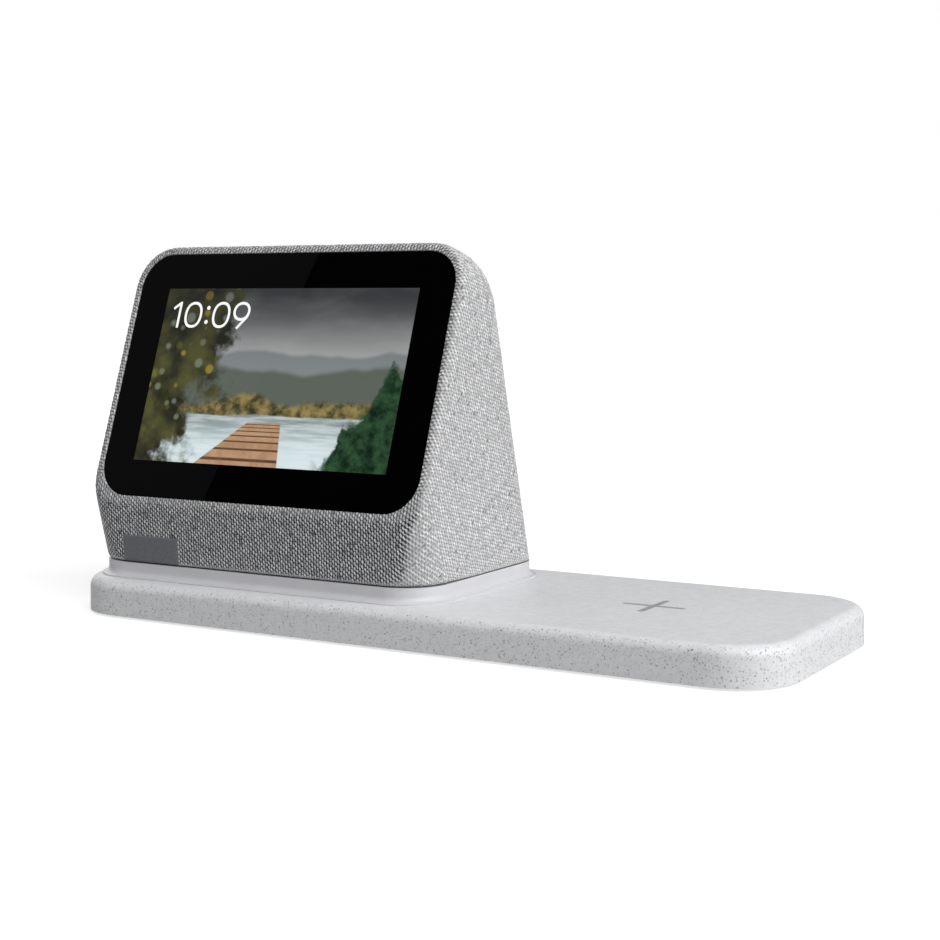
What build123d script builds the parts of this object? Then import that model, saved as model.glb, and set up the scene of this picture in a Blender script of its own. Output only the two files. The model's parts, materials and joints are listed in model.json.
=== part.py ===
from build123d import *
from math import asin, cos, hypot, pi, radians, sin
import os

# Smart speaker: a fabric-covered wedge head with a clock display, standing in the nest of a charging dock.
# Millimetres, +Z up. The origin is the centre of the dock's footprint on the table.
# +X runs along the dock towards its charging pad, and the display faces -Y.

# Dock
DOCK_LENGTH = 218.0
DOCK_DEPTH = 81.0
DOCK_CORNER = 18.0
DOCK_EDGE = 3.0
DOCK_DRAFT = 1.3
DOCK_WALL = 2.2
FOOT_HEIGHT = 0.6
DECK_Z = 10.6
DECK_THICKNESS = 2.2
BASE_THICKNESS = 1.6
FIT = 0.2

# Charging pad
PAD_X = 60.3
PLUS_SPAN = 18.0
PLUS_STROKE = 2.0
PLUS_DEPTH = 0.4
COIL_TURNS = 6
COIL_INNER = 9.5
COIL_PITCH = 2.2
COIL_STRIP = 1.4
COIL_HEIGHT = 1.0
FERRITE_HEIGHT = 0.6
MAGNET_INNER = 24.6
MAGNET_OUTER = 27.6
MAGNET_COUNT = 12

# Head, measured from the centre of the display (y back, z up)
HEAD_X = -48.0
DISPLAY_Y = -20.2
DISPLAY_Z = 69.2
HEAD_WIDTH = 114.8
SCREEN_TILT = 19.8
TOP_SLOPE = 14.0
REAR_LEAN = 15.4
CHIN_LEAN = 2.4
SCREEN_RISE = 39.5
FOOT_Z = -53.9
CHIN_FOOT_Y = -12.5
REAR_FOOT_Y = 55.2
TOP_REAR_RADIUS = 20.2
SIDE_RADIUS = 12.5
CHIN_CORNER = 12.6
CHIN_CORNER_LEAST = 1.0
CHIN_CORNER_FADE = 0.38
RIM_RADIUS = 1.6
FABRIC = 0.9
HOUSING_WALL = 2.2
EASE = 0.25

# Display
GLASS_WIDTH = 109.0
GLASS_HEIGHT = 73.7
GLASS_CORNER = 10.0
GLASS_SINK = 0.2
GLASS_THICKNESS = 1.1
GASKET_THICKNESS = 0.3
PANEL_WIDTH = 92.6
PANEL_HEIGHT = 57.8
PANEL_THICKNESS = 2.2
TRAY_SHEET = 0.4

# Collar and nest
COLLAR_HEIGHT = 4.4
COLLAR_FLARE = 1.9
COLLAR_LIP = 0.35
COLLAR_WALL = 3.6
NEST_FLOOR = 1.6
PIN_COUNT = 5
PIN_PITCH = 5.0
PIN_RADIUS = 0.7
PIN_TRAVEL = 0.9

# Controls
BUTTON_LENGTH = 15.0
BUTTON_WIDTH = 4.0
BUTTON_PROUD = 0.5
BUTTON_SETBACK = 6.2
BUTTON_OFFSET = 13.0
SWITCH_X = 34.0
SWITCH_RISE = 14.0
SWITCH_TRAVEL = 2.4

# Values that follow from the driving dimensions
BASE_TOP = FOOT_HEIGHT + BASE_THICKNESS
DECK_UNDER = DECK_Z - DECK_THICKNESS
WALL_INSET = FABRIC + HOUSING_WALL
FABRIC_FOOT = DISPLAY_Z + FOOT_Z
NEST_TOP = DECK_Z + NEST_FLOOR
NEST_Y = DISPLAY_Y + (CHIN_FOOT_Y + REAR_FOOT_Y) / 2
NEST_DEPTH = REAR_FOOT_Y - CHIN_FOOT_Y
GLASS_BACK = -GLASS_SINK - GLASS_THICKNESS
LEDGE = GLASS_BACK - GASKET_THICKNESS
PANEL_BACK = GLASS_BACK - PANEL_THICKNESS
TRAY_BACK = PANEL_BACK - TRAY_SHEET

# Directions of the head's faces in its side view, as (y, z)
SCREEN_UP = (sin(radians(SCREEN_TILT)), cos(radians(SCREEN_TILT)))
SCREEN_OUT = (-SCREEN_UP[1], SCREEN_UP[0])
TOP_BACK = (cos(radians(TOP_SLOPE)), -sin(radians(TOP_SLOPE)))
TOP_OUT = (-TOP_BACK[1], TOP_BACK[0])
REAR_UP = (-sin(radians(REAR_LEAN)), cos(radians(REAR_LEAN)))
REAR_OUT = (REAR_UP[1], -REAR_UP[0])
CHIN_UP = (-sin(radians(CHIN_LEAN)), cos(radians(CHIN_LEAN)))
CHIN_OUT = (-CHIN_UP[1], CHIN_UP[0])
TOP_FRONT = (SCREEN_RISE * SCREEN_UP[0], SCREEN_RISE * SCREEN_UP[1])
REAR_FOOT = (REAR_FOOT_Y, FOOT_Z)
CHIN_FOOT = (CHIN_FOOT_Y, FOOT_Z)
LEVEL = (1.0, 0.0)

LOW = (Align.CENTER, Align.CENTER, Align.MIN)
PIVOT_LOW = (Align.NONE, Align.NONE, Align.MIN)


def along(point, direction, distance):
    return (point[0] + direction[0] * distance, point[1] + direction[1] * distance)


def meet(p, d, q, e):
    """Where the line through p along d crosses the line through q along e."""
    det = d[1] * e[0] - d[0] * e[1]
    k = ((q[1] - p[1]) * e[0] - (q[0] - p[0]) * e[1]) / det
    return along(p, d, k)


def head_plane(point, out, x_dir=(1, 0, 0)):
    """A working plane on a face of the head, from its (y, z) point and outward direction."""
    origin = (HEAD_X, DISPLAY_Y + point[0], DISPLAY_Z + point[1])
    return Plane(origin=origin, x_dir=x_dir, z_dir=(0, out[0], out[1]))


def prism(sketch, low, high):
    return Pos(0, 0, low) * extrude(sketch, amount=high - low)


def block(x, y, low, size_x, size_y, size_z):
    return Pos(x, y, low) * Box(size_x, size_y, size_z, align=LOW)


def post(x, y, low, high, radius):
    return Pos(x, y, low) * Cylinder(radius, high - low, align=LOW)


def spin(*points):
    """Solid of revolution about Z from (radius, z) corners."""
    return revolve(Plane.XZ * make_face(Polyline(*points, close=True)), axis=Axis.Z)


def tube(inner, outer, low, high):
    return spin((inner, low), (outer, low), (outer, high), (inner, high))


def screw(x, y, low, head_radius, shank_radius, length):
    """Countersunk screw standing head down at low."""
    sink = head_radius - shank_radius
    body = spin((0, 0), (head_radius, 0), (shank_radius, sink), (shank_radius, length), (0, length))
    drive = Box(head_radius, 0.5, 0.6, align=LOW) + Box(0.5, head_radius, 0.6, align=LOW)
    return Pos(x, y, low) * (body - drive)


def countersink(x, y, low, head_radius, shank_radius, depth, slack=0.15):
    sink = head_radius - shank_radius
    wide = head_radius + slack
    narrow = shank_radius + slack
    return Pos(x, y, low) * spin((0, -1), (wide, -1), (wide, 0), (narrow, sink), (narrow, depth), (0, depth))


def group(solids):
    return Compound(children=list(solids))


def on_line(point, start, out, distance):
    return abs((point.Y - start[0]) * out[0] + (point.Z - start[1]) * out[1] - distance) < 1e-3


def chin_section(z, inset, ease):
    """Plan of the head at height z: straight sides, the chin in front, its corners rounder lower down."""
    start = along(CHIN_FOOT, CHIN_OUT, -inset)
    front = meet(start, CHIN_UP, (0, z), LEVEL)[0]
    half = HEAD_WIDTH / 2 - inset
    back = REAR_FOOT_Y + 20
    corner = max(CHIN_CORNER + (FOOT_Z - z) * CHIN_CORNER_FADE, CHIN_CORNER_LEAST + inset) - inset + ease
    plan = Pos(0, (front + back) / 2) * Rectangle(2 * half, back - front)
    return Pos(0, 0, z) * fillet(plan.vertices().group_by(Axis.Y)[0], corner)


def head_form(inset, foot=FOOT_Z, rim=0.0, ease=0.0):
    """The wedge of the head with every face moved inwards by inset and cut off level at foot."""
    screen = along((0, 0), SCREEN_OUT, -inset)
    top = along(TOP_FRONT, TOP_OUT, -inset)
    rear = along(REAR_FOOT, REAR_OUT, -inset)
    floor = (0, foot - 1)
    shoulder = meet(top, TOP_BACK, rear, REAR_UP)
    outline = (
        meet(screen, SCREEN_UP, floor, LEVEL),
        meet(screen, SCREEN_UP, top, TOP_BACK),
        shoulder,
        meet(rear, REAR_UP, floor, LEVEL),
    )
    wedge = extrude(Plane.YZ * make_face(Polyline(*outline, close=True)), amount=HEAD_WIDTH, both=True)
    spine = wedge.edges().sort_by_distance((0, *shoulder))[0]
    wedge = fillet(spine, TOP_REAR_RADIUS - inset + ease)
    fade_top = FOOT_Z + (CHIN_CORNER - CHIN_CORNER_LEAST) / CHIN_CORNER_FADE
    levels = (foot, fade_top, SCREEN_RISE + 8)
    form = wedge & loft([chin_section(z, inset, ease) for z in levels], ruled=True)
    half = HEAD_WIDTH / 2 - inset
    sides = []
    for edge in form.edges():
        middle = edge @ 0.5
        on_side = abs(abs(middle.X) - half) < 1e-3
        on_screen = on_line(middle, (0, 0), SCREEN_OUT, -inset)
        level = middle.Z < foot + 1 or abs(middle.Z - fade_top) < 0.01
        if on_side and middle.Y > 0 and not on_screen and not level:
            sides.append(edge)
    form = fillet(sides, SIDE_RADIUS - inset + ease)
    if rim:
        loop = []
        for edge in form.edges():
            if all(on_line(edge @ t, (0, 0), SCREEN_OUT, -inset) for t in (0, 0.5, 1)):
                loop.append(edge)
        form = fillet(loop, rim)
    return Pos(HEAD_X, DISPLAY_Y, DISPLAY_Z) * form


def foot_outline(offset):
    """Plan of the head where its fabric ends, grown outwards by offset."""
    plan = Rectangle(HEAD_WIDTH + 2 * offset, NEST_DEPTH + 2 * offset)
    plan = fillet(plan.vertices().group_by(Axis.Y)[0], CHIN_CORNER + offset)
    plan = fillet(plan.vertices().group_by(Axis.Y)[-1], SIDE_RADIUS + offset)
    return Pos(HEAD_X, NEST_Y) * plan


def foot_ring(inner, outer, low, high):
    return prism(foot_outline(outer) - foot_outline(inner), low, high)


def glass_outline(grow):
    return RectangleRounded(GLASS_WIDTH + 2 * grow, GLASS_HEIGHT + 2 * grow, GLASS_CORNER + grow)


# Working planes on the head
screen_face = head_plane((0, 0), SCREEN_OUT)
top_face = head_plane(along(TOP_FRONT, TOP_BACK, BUTTON_SETBACK), TOP_OUT)
REAR_CENTRE_RISE = 42.0
rear_face = head_plane(along(REAR_FOOT, REAR_UP, REAR_CENTRE_RISE), REAR_OUT, x_dir=(-1, 0, 0))
chin_face = head_plane(CHIN_FOOT, CHIN_OUT)

nodes = {}

# Dock shells
BOSS_RADIUS = 3.0
SCREW_SHANK = 1.1
SCREW_HEAD = 2.3
SCREW_LENGTH = 5.6
dock_screw_spots = [(x, y) for x in (-98.0, 10.0, 98.0) for y in (-30.0, 30.0)]
foot_spots = [(x, y) for x in (-82.0, 82.0) for y in (-28.0, 28.0)]
FOOT_RADIUS = 6.0
FOOT_SEAT = 0.5
cavity_length = DOCK_LENGTH - 2 * DOCK_WALL
cavity_depth = DOCK_DEPTH - 2 * DOCK_WALL
cavity_corner = DOCK_CORNER - DOCK_WALL
REAR_INSIDE = cavity_depth / 2

# Rear sockets of the dock
USB_X = -24.0
USB_WIDTH = 13.2
USB_HEIGHT = 5.7
USB_LENGTH = 13.8
USB_SHEET = 0.35
USB_Z = BASE_TOP + 0.25
JACK_X = -62.0
JACK_Z = 5.35
JACK_BOSS = 2.75
JACK_BORE = 2.2
JACK_PIN = 0.75
SOCKET_FACE = DOCK_DEPTH / 2 - 0.6

dock_outline = RectangleRounded(DOCK_LENGTH, DOCK_DEPTH, DOCK_CORNER)
deck = extrude(dock_outline, amount=DECK_Z - FOOT_HEIGHT, taper=DOCK_DRAFT)
deck = fillet(deck.edges().group_by(Axis.Z)[-1], DOCK_EDGE)
deck = Pos(0, 0, FOOT_HEIGHT) * deck
deck -= prism(RectangleRounded(cavity_length, cavity_depth, cavity_corner), FOOT_HEIGHT - 1, DECK_UNDER)
plus_arm = prism(SlotOverall(PLUS_SPAN, PLUS_STROKE), DECK_Z - PLUS_DEPTH, DECK_Z + 1)
for turn in (0, 90):
    deck -= Pos(PAD_X, 0) * Rot(0, 0, turn) * plus_arm
for x, y in dock_screw_spots:
    deck += post(x, y, BASE_TOP, DECK_UNDER, BOSS_RADIUS)
    deck -= post(x, y, BASE_TOP - 1, BASE_TOP + SCREW_LENGTH, SCREW_SHANK + 0.1)
usb_gap = 0.3
deck -= block(USB_X, DOCK_DEPTH / 2, USB_Z - usb_gap, USB_WIDTH + 2 * usb_gap, 8, USB_HEIGHT + 2 * usb_gap)
deck -= Pos(JACK_X, DOCK_DEPTH / 2, JACK_Z) * Rot(90, 0, 0) * Cylinder(JACK_BOSS + 0.2, 8)

board_posts = [(x, y) for x in (-86.0, -10.0) for y in (-10.0, 20.0)]
BOARD_LOW = 3.4
BOARD_TOP = 4.4
CARRIER_LOW = 5.4
base_outline = RectangleRounded(cavity_length - 2 * FIT, cavity_depth - 2 * FIT, cavity_corner - FIT)
base = prism(base_outline, FOOT_HEIGHT, BASE_TOP)
for x, y in foot_spots:
    base -= post(x, y, FOOT_HEIGHT - 1, FOOT_HEIGHT + FOOT_SEAT, FOOT_RADIUS + 0.1)
for x, y in dock_screw_spots:
    base -= countersink(x, y, FOOT_HEIGHT, SCREW_HEAD, SCREW_SHANK, BASE_THICKNESS + 1)
for x, y in board_posts:
    base += post(x, y, BASE_TOP, BOARD_LOW, 2.5)
base += Pos(PAD_X, 0) * tube(19.0, 21.0, BASE_TOP, CARRIER_LOW)
base += block(USB_X, 31.5, BASE_TOP, 11.0, 9.0, USB_Z - BASE_TOP)
JACK_LOW = JACK_Z - 2.95
base += block(JACK_X, 33.0, BASE_TOP, 6.0, 7.0, JACK_LOW - BASE_TOP)
nodes["dock_base"] = base
nodes["dock_feet"] = group(post(x, y, 0, FOOT_HEIGHT + FOOT_SEAT, FOOT_RADIUS) for x, y in foot_spots)
nodes["dock_screws"] = group(
    screw(x, y, FOOT_HEIGHT, SCREW_HEAD, SCREW_SHANK, SCREW_LENGTH) for x, y in dock_screw_spots
)

# Collar: a low wall with a cove that flares out to the deck, hollow below for the lights
collar_top = DECK_Z + COLLAR_HEIGHT
collar = prism(foot_outline(COLLAR_FLARE), DECK_Z, DECK_Z + COLLAR_LIP)
collar += prism(foot_outline(0), DECK_Z, collar_top)


def at_wall_foot(edge):
    """True on the line where the collar's wall meets its lip."""
    middle = edge @ 0.5
    if abs(middle.Z - DECK_Z - COLLAR_LIP) > 1e-3:
        return False
    if edge.geom_type == GeomType.CIRCLE:
        return min(abs(edge.radius - CHIN_CORNER), abs(edge.radius - SIDE_RADIUS)) < 1e-3
    across = abs(middle.X - HEAD_X) - HEAD_WIDTH / 2
    deep = abs(middle.Y - NEST_Y) - NEST_DEPTH / 2
    return min(abs(across), abs(deep)) < 1e-3


collar = fillet([edge for edge in collar.edges() if at_wall_foot(edge)], COLLAR_FLARE - 0.15)
collar -= prism(foot_outline(-COLLAR_WALL), DECK_Z - 1, collar_top + 1)
STRIP_INNER = -2.9
STRIP_OUTER = -0.7
collar -= foot_ring(STRIP_INNER, STRIP_OUTER, DECK_Z - 1, DECK_Z + 2.4)
nodes["light_ring"] = collar
STRIP_TOP = DECK_Z + 0.4
nodes["light_strip"] = foot_ring(STRIP_INNER + FIT, STRIP_OUTER - FIT, DECK_Z, STRIP_TOP)
strip_line = (STRIP_INNER + STRIP_OUTER) / 2
led_y = NEST_DEPTH / 2 + strip_line
led_x = HEAD_WIDTH / 2 + strip_line
LED = (2.4, 1.3, 0.9)
leds = []
for side in (-1, 1):
    for x in (-30, -10, 10, 30):
        leds.append(block(HEAD_X + x, NEST_Y + side * led_y, STRIP_TOP, *LED))
    for y in (-10, 10):
        leds.append(block(HEAD_X + side * led_x, NEST_Y + y, STRIP_TOP, LED[1], LED[0], LED[2]))
nodes["night_leds"] = group(leds)

# Nest floor with the sprung contacts
PIN_Y = NEST_Y + 8.0
pin_spots = [HEAD_X + (i - (PIN_COUNT - 1) / 2) * PIN_PITCH for i in range(PIN_COUNT)]
NECK = (PIN_COUNT * PIN_PITCH + 1.0, 4.6)
PAD_SEAT = NEST_TOP + 0.6
CONTACT_Z = PAD_SEAT + 0.4
PIN_TIP = CONTACT_Z - 0.05
PIN_FOOT = BOARD_TOP + 4.2
BLOCK = (NECK[0] + 3.0, NECK[1] + 3.0)
deck -= block(HEAD_X, PIN_Y, DECK_UNDER - 1, BLOCK[0] + 0.6, BLOCK[1] + 0.6, DECK_THICKNESS + 2)
nodes["dock_deck"] = deck
nest = prism(foot_outline(-COLLAR_WALL - 0.3), DECK_Z, NEST_TOP)
nest -= block(HEAD_X, PIN_Y, DECK_Z - 1, NECK[0] + 0.4, NECK[1] + 0.4, NEST_FLOOR + 2)
nodes["nest_plate"] = nest
pogo_block = block(HEAD_X, PIN_Y, BOARD_TOP, *BLOCK, DECK_Z - BOARD_TOP)
pogo_block += block(HEAD_X, PIN_Y, DECK_Z, NECK[0], NECK[1], NEST_FLOOR)
for x in pin_spots:
    pogo_block -= post(x, PIN_Y, PIN_FOOT - PIN_TRAVEL - 0.6, NEST_TOP + 1, PIN_RADIUS + 0.3)
nodes["pogo_block"] = pogo_block


def pogo_pin(x):
    pin = post(x, PIN_Y, PIN_FOOT, PIN_TIP, PIN_RADIUS)
    return fillet(pin.edges().group_by(Axis.Z)[-1], PIN_RADIUS * 0.6)


nodes["pogo_pins"] = group(pogo_pin(x) for x in pin_spots)

# Charging coil: half turns about two centres, so that the strip spirals outwards by one pitch a turn
COIL_LOW = DECK_UNDER - COIL_HEIGHT


def half_turn(index):
    radius = COIL_INNER + index * COIL_PITCH / 2
    outer = Cylinder(radius + COIL_STRIP / 2, COIL_HEIGHT, arc_size=180, align=PIVOT_LOW)
    inner = Cylinder(radius - COIL_STRIP / 2, 3 * COIL_HEIGHT)
    shift = COIL_PITCH / 2 if index % 2 else 0.0
    return Pos(shift, 0, 0) * Rot(0, 0, 180 * (index % 2)) * (outer - inner)


coil = half_turn(0)
for index in range(1, 2 * COIL_TURNS):
    coil += half_turn(index)
nodes["charging_coil"] = Pos(PAD_X, 0, COIL_LOW) * coil


def spiral_point(step, steps_per_half):
    index, part = divmod(step, steps_per_half)
    radius = COIL_INNER + index * COIL_PITCH / 2
    angle = pi * (index + part / steps_per_half)
    shift = COIL_PITCH / 2 if index % 2 else 0.0
    return (shift + radius * cos(angle), radius * sin(angle))


STEPS = 36
centre_line = [spiral_point(step, STEPS) for step in range(2 * COIL_TURNS * STEPS)]
coil_gap = min(
    hypot(p[0] - q[0], p[1] - q[1])
    for i, p in enumerate(centre_line)
    for q in centre_line[i + STEPS:]
) - COIL_STRIP
print(f"charging coil: {COIL_TURNS} turns, least gap to itself {coil_gap:.2f} mm")

coil_outer = COIL_INNER + COIL_TURNS * COIL_PITCH + COIL_STRIP
nodes["ferrite_disc"] = Pos(PAD_X, 0) * tube(3.0, coil_outer, COIL_LOW - FERRITE_HEIGHT, COIL_LOW)
CARRIER_FLOOR = COIL_LOW - FERRITE_HEIGHT
carrier = tube(3.0, 30.0, CARRIER_LOW, CARRIER_FLOOR) + tube(28.0, 30.0, CARRIER_FLOOR, DECK_UNDER)
nodes["coil_carrier"] = Pos(PAD_X, 0) * carrier


def magnet(index):
    sweep_angle = 360 / MAGNET_COUNT - 4
    height = DECK_UNDER - CARRIER_FLOOR
    outer = Cylinder(MAGNET_OUTER, height, arc_size=sweep_angle, align=PIVOT_LOW)
    turned = Rot(0, 0, index * 360 / MAGNET_COUNT) * (outer - Cylinder(MAGNET_INNER, 3 * height))
    return Pos(PAD_X, 0, CARRIER_FLOOR) * turned


nodes["align_magnets"] = group(magnet(index) for index in range(MAGNET_COUNT))

# Dock electronics
BOARD_CENTRE = (-48.0, 11.0)
BOARD_SIZE = (88.0, 52.0)
dock_board = block(*BOARD_CENTRE, BOARD_LOW, *BOARD_SIZE, BOARD_TOP - BOARD_LOW)
dock_board -= block(USB_X, 32.0, BOARD_LOW - 1, USB_WIDTH + 0.4, 16.0, 3)
dock_board -= block(JACK_X, 33.0, BOARD_LOW - 1, 8.8, 13.0, 3)
nodes["dock_board"] = dock_board
chips = [
    block(-80, 4, BOARD_TOP, 8, 8, 1.0),
    block(-66, 6, BOARD_TOP, 6.5, 6.5, 3.0),
    block(-14, 4, BOARD_TOP, 7, 7, 3.0),
    block(-14, -6, BOARD_TOP, 5, 4, 1.2),
]
chips += [post(x, -7, BOARD_TOP, BOARD_TOP + 3.4, 2.2) for x in (-70, -63, -30)]
nodes["dock_chips"] = group(chips)

usb_inner = SOCKET_FACE - USB_LENGTH
usb_middle = SOCKET_FACE - USB_LENGTH / 2
usb_clear = (USB_WIDTH - 2 * USB_SHEET, USB_LENGTH, USB_HEIGHT - 2 * USB_SHEET)
usb_shell = block(USB_X, usb_middle, USB_Z, USB_WIDTH, USB_LENGTH, USB_HEIGHT)
usb_shell -= block(USB_X, usb_middle + USB_SHEET, USB_Z + USB_SHEET, *usb_clear)
nodes["usb_port_shell"] = usb_shell
tongue_y = usb_inner + USB_SHEET
usb_tongue = block(USB_X, tongue_y + 1.5, USB_Z + USB_SHEET, 12.2, 3.0, usb_clear[2])
usb_tongue += block(USB_X, tongue_y + 7.0, USB_Z + USB_HEIGHT / 2 + 0.4, 11.1, 8.4, 1.8)
nodes["usb_port_tongue"] = usb_tongue


def socket_bore(radius, depth):
    """Round bore from the rear face of a socket, along -Y from the origin."""
    return Rot(90, 0, 0) * Cylinder(radius, depth, align=LOW)


jack = block(JACK_X, REAR_INSIDE - 5.5, JACK_LOW, 8.0, 10.6, 5.9)
jack += Pos(JACK_X, SOCKET_FACE, JACK_Z) * socket_bore(JACK_BOSS, SOCKET_FACE - REAR_INSIDE + 1)
jack -= Pos(JACK_X, SOCKET_FACE + 1, JACK_Z) * socket_bore(JACK_BORE, 10.5)
nodes["dock_power_jack"] = jack
nodes["dock_jack_pin"] = Pos(JACK_X, SOCKET_FACE - 1.0, JACK_Z) * socket_bore(JACK_PIN, 8.5)

# Openings of the head's skin, as prisms through the wall
DEEP = 8.0
BEZEL = (14.0, 7.0)
INLET_RISE = -27.5
INLET_RADIUS = 5.0
button_spots = {"volume_down_button": -BUTTON_OFFSET, "volume_up_button": BUTTON_OFFSET}
glass_opening = screen_face * prism(glass_outline(0.2), LEDGE, DEEP)


def button_hole(grow, low, high):
    pill = SlotOverall(BUTTON_LENGTH + 2 * grow, BUTTON_WIDTH + 2 * grow)
    return [top_face * Pos(u, 0) * prism(pill, low, high) for u in button_spots.values()]


def bezel_hole(grow, low, high):
    pill = SlotOverall(BEZEL[0] + 2 * grow, BEZEL[1] + 2 * grow)
    return rear_face * Pos(SWITCH_X, SWITCH_RISE) * prism(pill, low, high)


def inlet_hole(grow, low, high):
    return rear_face * Pos(0, INLET_RISE) * prism(Circle(INLET_RADIUS + grow), low, high)


# Fabric sleeve
sleeve = head_form(0, rim=RIM_RADIUS) - head_form(FABRIC, foot=FOOT_Z - 4, rim=0.5)
sleeve -= screen_face * prism(glass_outline(0.2), -WALL_INSET, DEEP)
for hole in button_hole(0.3, -WALL_INSET, DEEP):
    sleeve -= hole
sleeve -= bezel_hole(0.1, -WALL_INSET, DEEP)
sleeve -= inlet_hole(0.1, -WALL_INSET, DEEP)
nodes["fabric_sleeve"] = sleeve
TAG = (20.3, 7.7, 0.35)
TAG_X = -34.4
TAG_RISE = 0.2
nodes["fabric_tag"] = chin_face * block(TAG_X, TAG[1] / 2 + TAG_RISE, 0, *TAG)

# Housing: the moulded shell under the fabric
BOARD_POST = (49.8, 20.0)
BOARD_FRONT = -8.0
BUTTON_BOARD_TOP = -7.0
BUTTON_POST = 38.0
BASE_FLANGE_TOP = FABRIC_FOOT + 2.0
base_post_spots = [(HEAD_X + side * 49.6, DISPLAY_Y + y) for side in (-1, 1) for y in (0.0, 42.0)]
DRIVER_RISE = 3.0
SPEAKER_SLOTS = 9
SLOT_PITCH = 3.4
SLOT_HEIGHT = 1.8
SOUND_RADIUS = 16.5

housing = head_form(FABRIC, rim=0.8, ease=EASE) - head_form(WALL_INSET, foot=FOOT_Z - 4, ease=EASE)
housing -= glass_opening
panel_window = RectangleRounded(PANEL_WIDTH + 1.4, PANEL_HEIGHT + 1.4, 1.5)
housing -= screen_face * prism(panel_window, -2 * WALL_INSET, 0)
for side in (-1, 1):
    for rise in (-BOARD_POST[1], BOARD_POST[1]):
        housing += screen_face * (post(side * BOARD_POST[0], rise, BOARD_FRONT, -WALL_INSET + 0.5, 2.5))
        housing -= screen_face * (post(side * BOARD_POST[0], rise, BOARD_FRONT - 1, -WALL_INSET, 0.9))
    housing += top_face * post(side * BUTTON_POST, 0, BUTTON_BOARD_TOP, -WALL_INSET + 0.5, 2.2)
    housing -= top_face * post(side * BUTTON_POST, 0, BUTTON_BOARD_TOP - 1, -WALL_INSET - 0.5, 0.9)
for x, y in base_post_spots:
    housing += post(x, y, BASE_FLANGE_TOP, BASE_FLANGE_TOP + 12, 3.6)
    housing -= post(x, y, BASE_FLANGE_TOP - 1, BASE_FLANGE_TOP + 8, SCREW_SHANK + 0.1)
for hole in button_hole(0.3, -WALL_INSET - 1, DEEP):
    housing -= hole
housing -= bezel_hole(0.1, -WALL_INSET - 1, DEEP)
housing -= inlet_hole(0.1, -WALL_INSET - 1, DEEP)
for row in range(SPEAKER_SLOTS):
    height = (row - (SPEAKER_SLOTS - 1) / 2) * SLOT_PITCH
    chord = 2 * (SOUND_RADIUS ** 2 - height ** 2) ** 0.5
    slot = Pos(0, DRIVER_RISE + height) * prism(Rectangle(chord, SLOT_HEIGHT), -WALL_INSET - 1, 0)
    housing -= rear_face * slot
MIC_X = 29.0
for side in (-1, 1):
    housing -= top_face * post(side * MIC_X, 0, -WALL_INSET - 1, 0, 0.6)
nodes["head_housing"] = housing

# Display stack
glass = prism(glass_outline(0), GLASS_BACK, -GLASS_SINK)
glass = chamfer(glass.edges().group_by(Axis.Z)[-1], 0.25)
nodes["screen_glass"] = screen_face * glass
gasket_inner = RectangleRounded(PANEL_WIDTH + 2.0, PANEL_HEIGHT + 2.0, 2.0)
nodes["glass_gasket"] = screen_face * prism(glass_outline(-0.4) - gasket_inner, LEDGE, GLASS_BACK)
nodes["display_panel"] = screen_face * prism(Rectangle(PANEL_WIDTH, PANEL_HEIGHT), PANEL_BACK, GLASS_BACK)
tray_outline = RectangleRounded(PANEL_WIDTH + 0.8, PANEL_HEIGHT + 0.8, 0.8)
tray = prism(tray_outline, TRAY_BACK, PANEL_BACK + 1.4)
tray -= prism(Rectangle(PANEL_WIDTH, PANEL_HEIGHT), PANEL_BACK, 0)
for x in (-24, 0, 24):
    tray -= Pos(x, 8) * prism(RectangleRounded(18, 24, 3), TRAY_BACK - 1, PANEL_BACK + 0.1)
nodes["display_frame"] = screen_face * tray

FLEX_SHEET = 0.3
FLEX_WIDTH = 22.0
flex_mid = (TRAY_BACK + BOARD_FRONT) / 2
flex_outer = (TRAY_BACK - BOARD_FRONT) / 2
flex_low = -20.0
bend = Circle(flex_outer) - Circle(flex_outer - FLEX_SHEET)
bend &= Pos(-flex_outer, 0) * Rectangle(2 * flex_outer, 4 * flex_outer)
FLEX_TAIL = 9.0
for side in (-1, 1):
    bend += Pos(FLEX_TAIL / 2, side * (flex_outer - FLEX_SHEET / 2)) * Rectangle(FLEX_TAIL, FLEX_SHEET)
flex = extrude(Plane.YZ * Pos(flex_low, flex_mid) * bend, amount=FLEX_WIDTH / 2, both=True)
nodes["display_flex"] = screen_face * flex

# Main board
BOARD_BACK = BOARD_FRONT - 1.2
SHIELD_BACK = BOARD_BACK - 2.4
main_board = prism(RectangleRounded(104.6, 48.0, 2.0), BOARD_BACK, BOARD_FRONT)
for side in (-1, 1):
    for rise in (-BOARD_POST[1], BOARD_POST[1]):
        main_board -= post(side * BOARD_POST[0], rise, BOARD_BACK - 1, BOARD_FRONT + 1, 1.1)
nodes["main_board"] = screen_face * main_board
shield = Pos(-12, 4) * prism(RectangleRounded(44, 28, 1.0), SHIELD_BACK, BOARD_BACK)
shield -= Pos(-12, 4) * prism(Rectangle(43.4, 27.4), SHIELD_BACK + 0.3, BOARD_BACK + 1)
nodes["board_shield"] = screen_face * shield
spreader = Pos(-8, 4) * prism(RectangleRounded(64, 36, 3.0), SHIELD_BACK - 1.0, SHIELD_BACK)
nodes["heat_spreader"] = screen_face * spreader


def pan_screw(low, length):
    """Small screw whose pan head sits under low."""
    head, shank, under, tip = 1.9, 0.8, low - 1.0, low + length
    return spin((0, under), (head, under), (head, low), (shank, low), (shank, tip), (0, tip))


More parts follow.
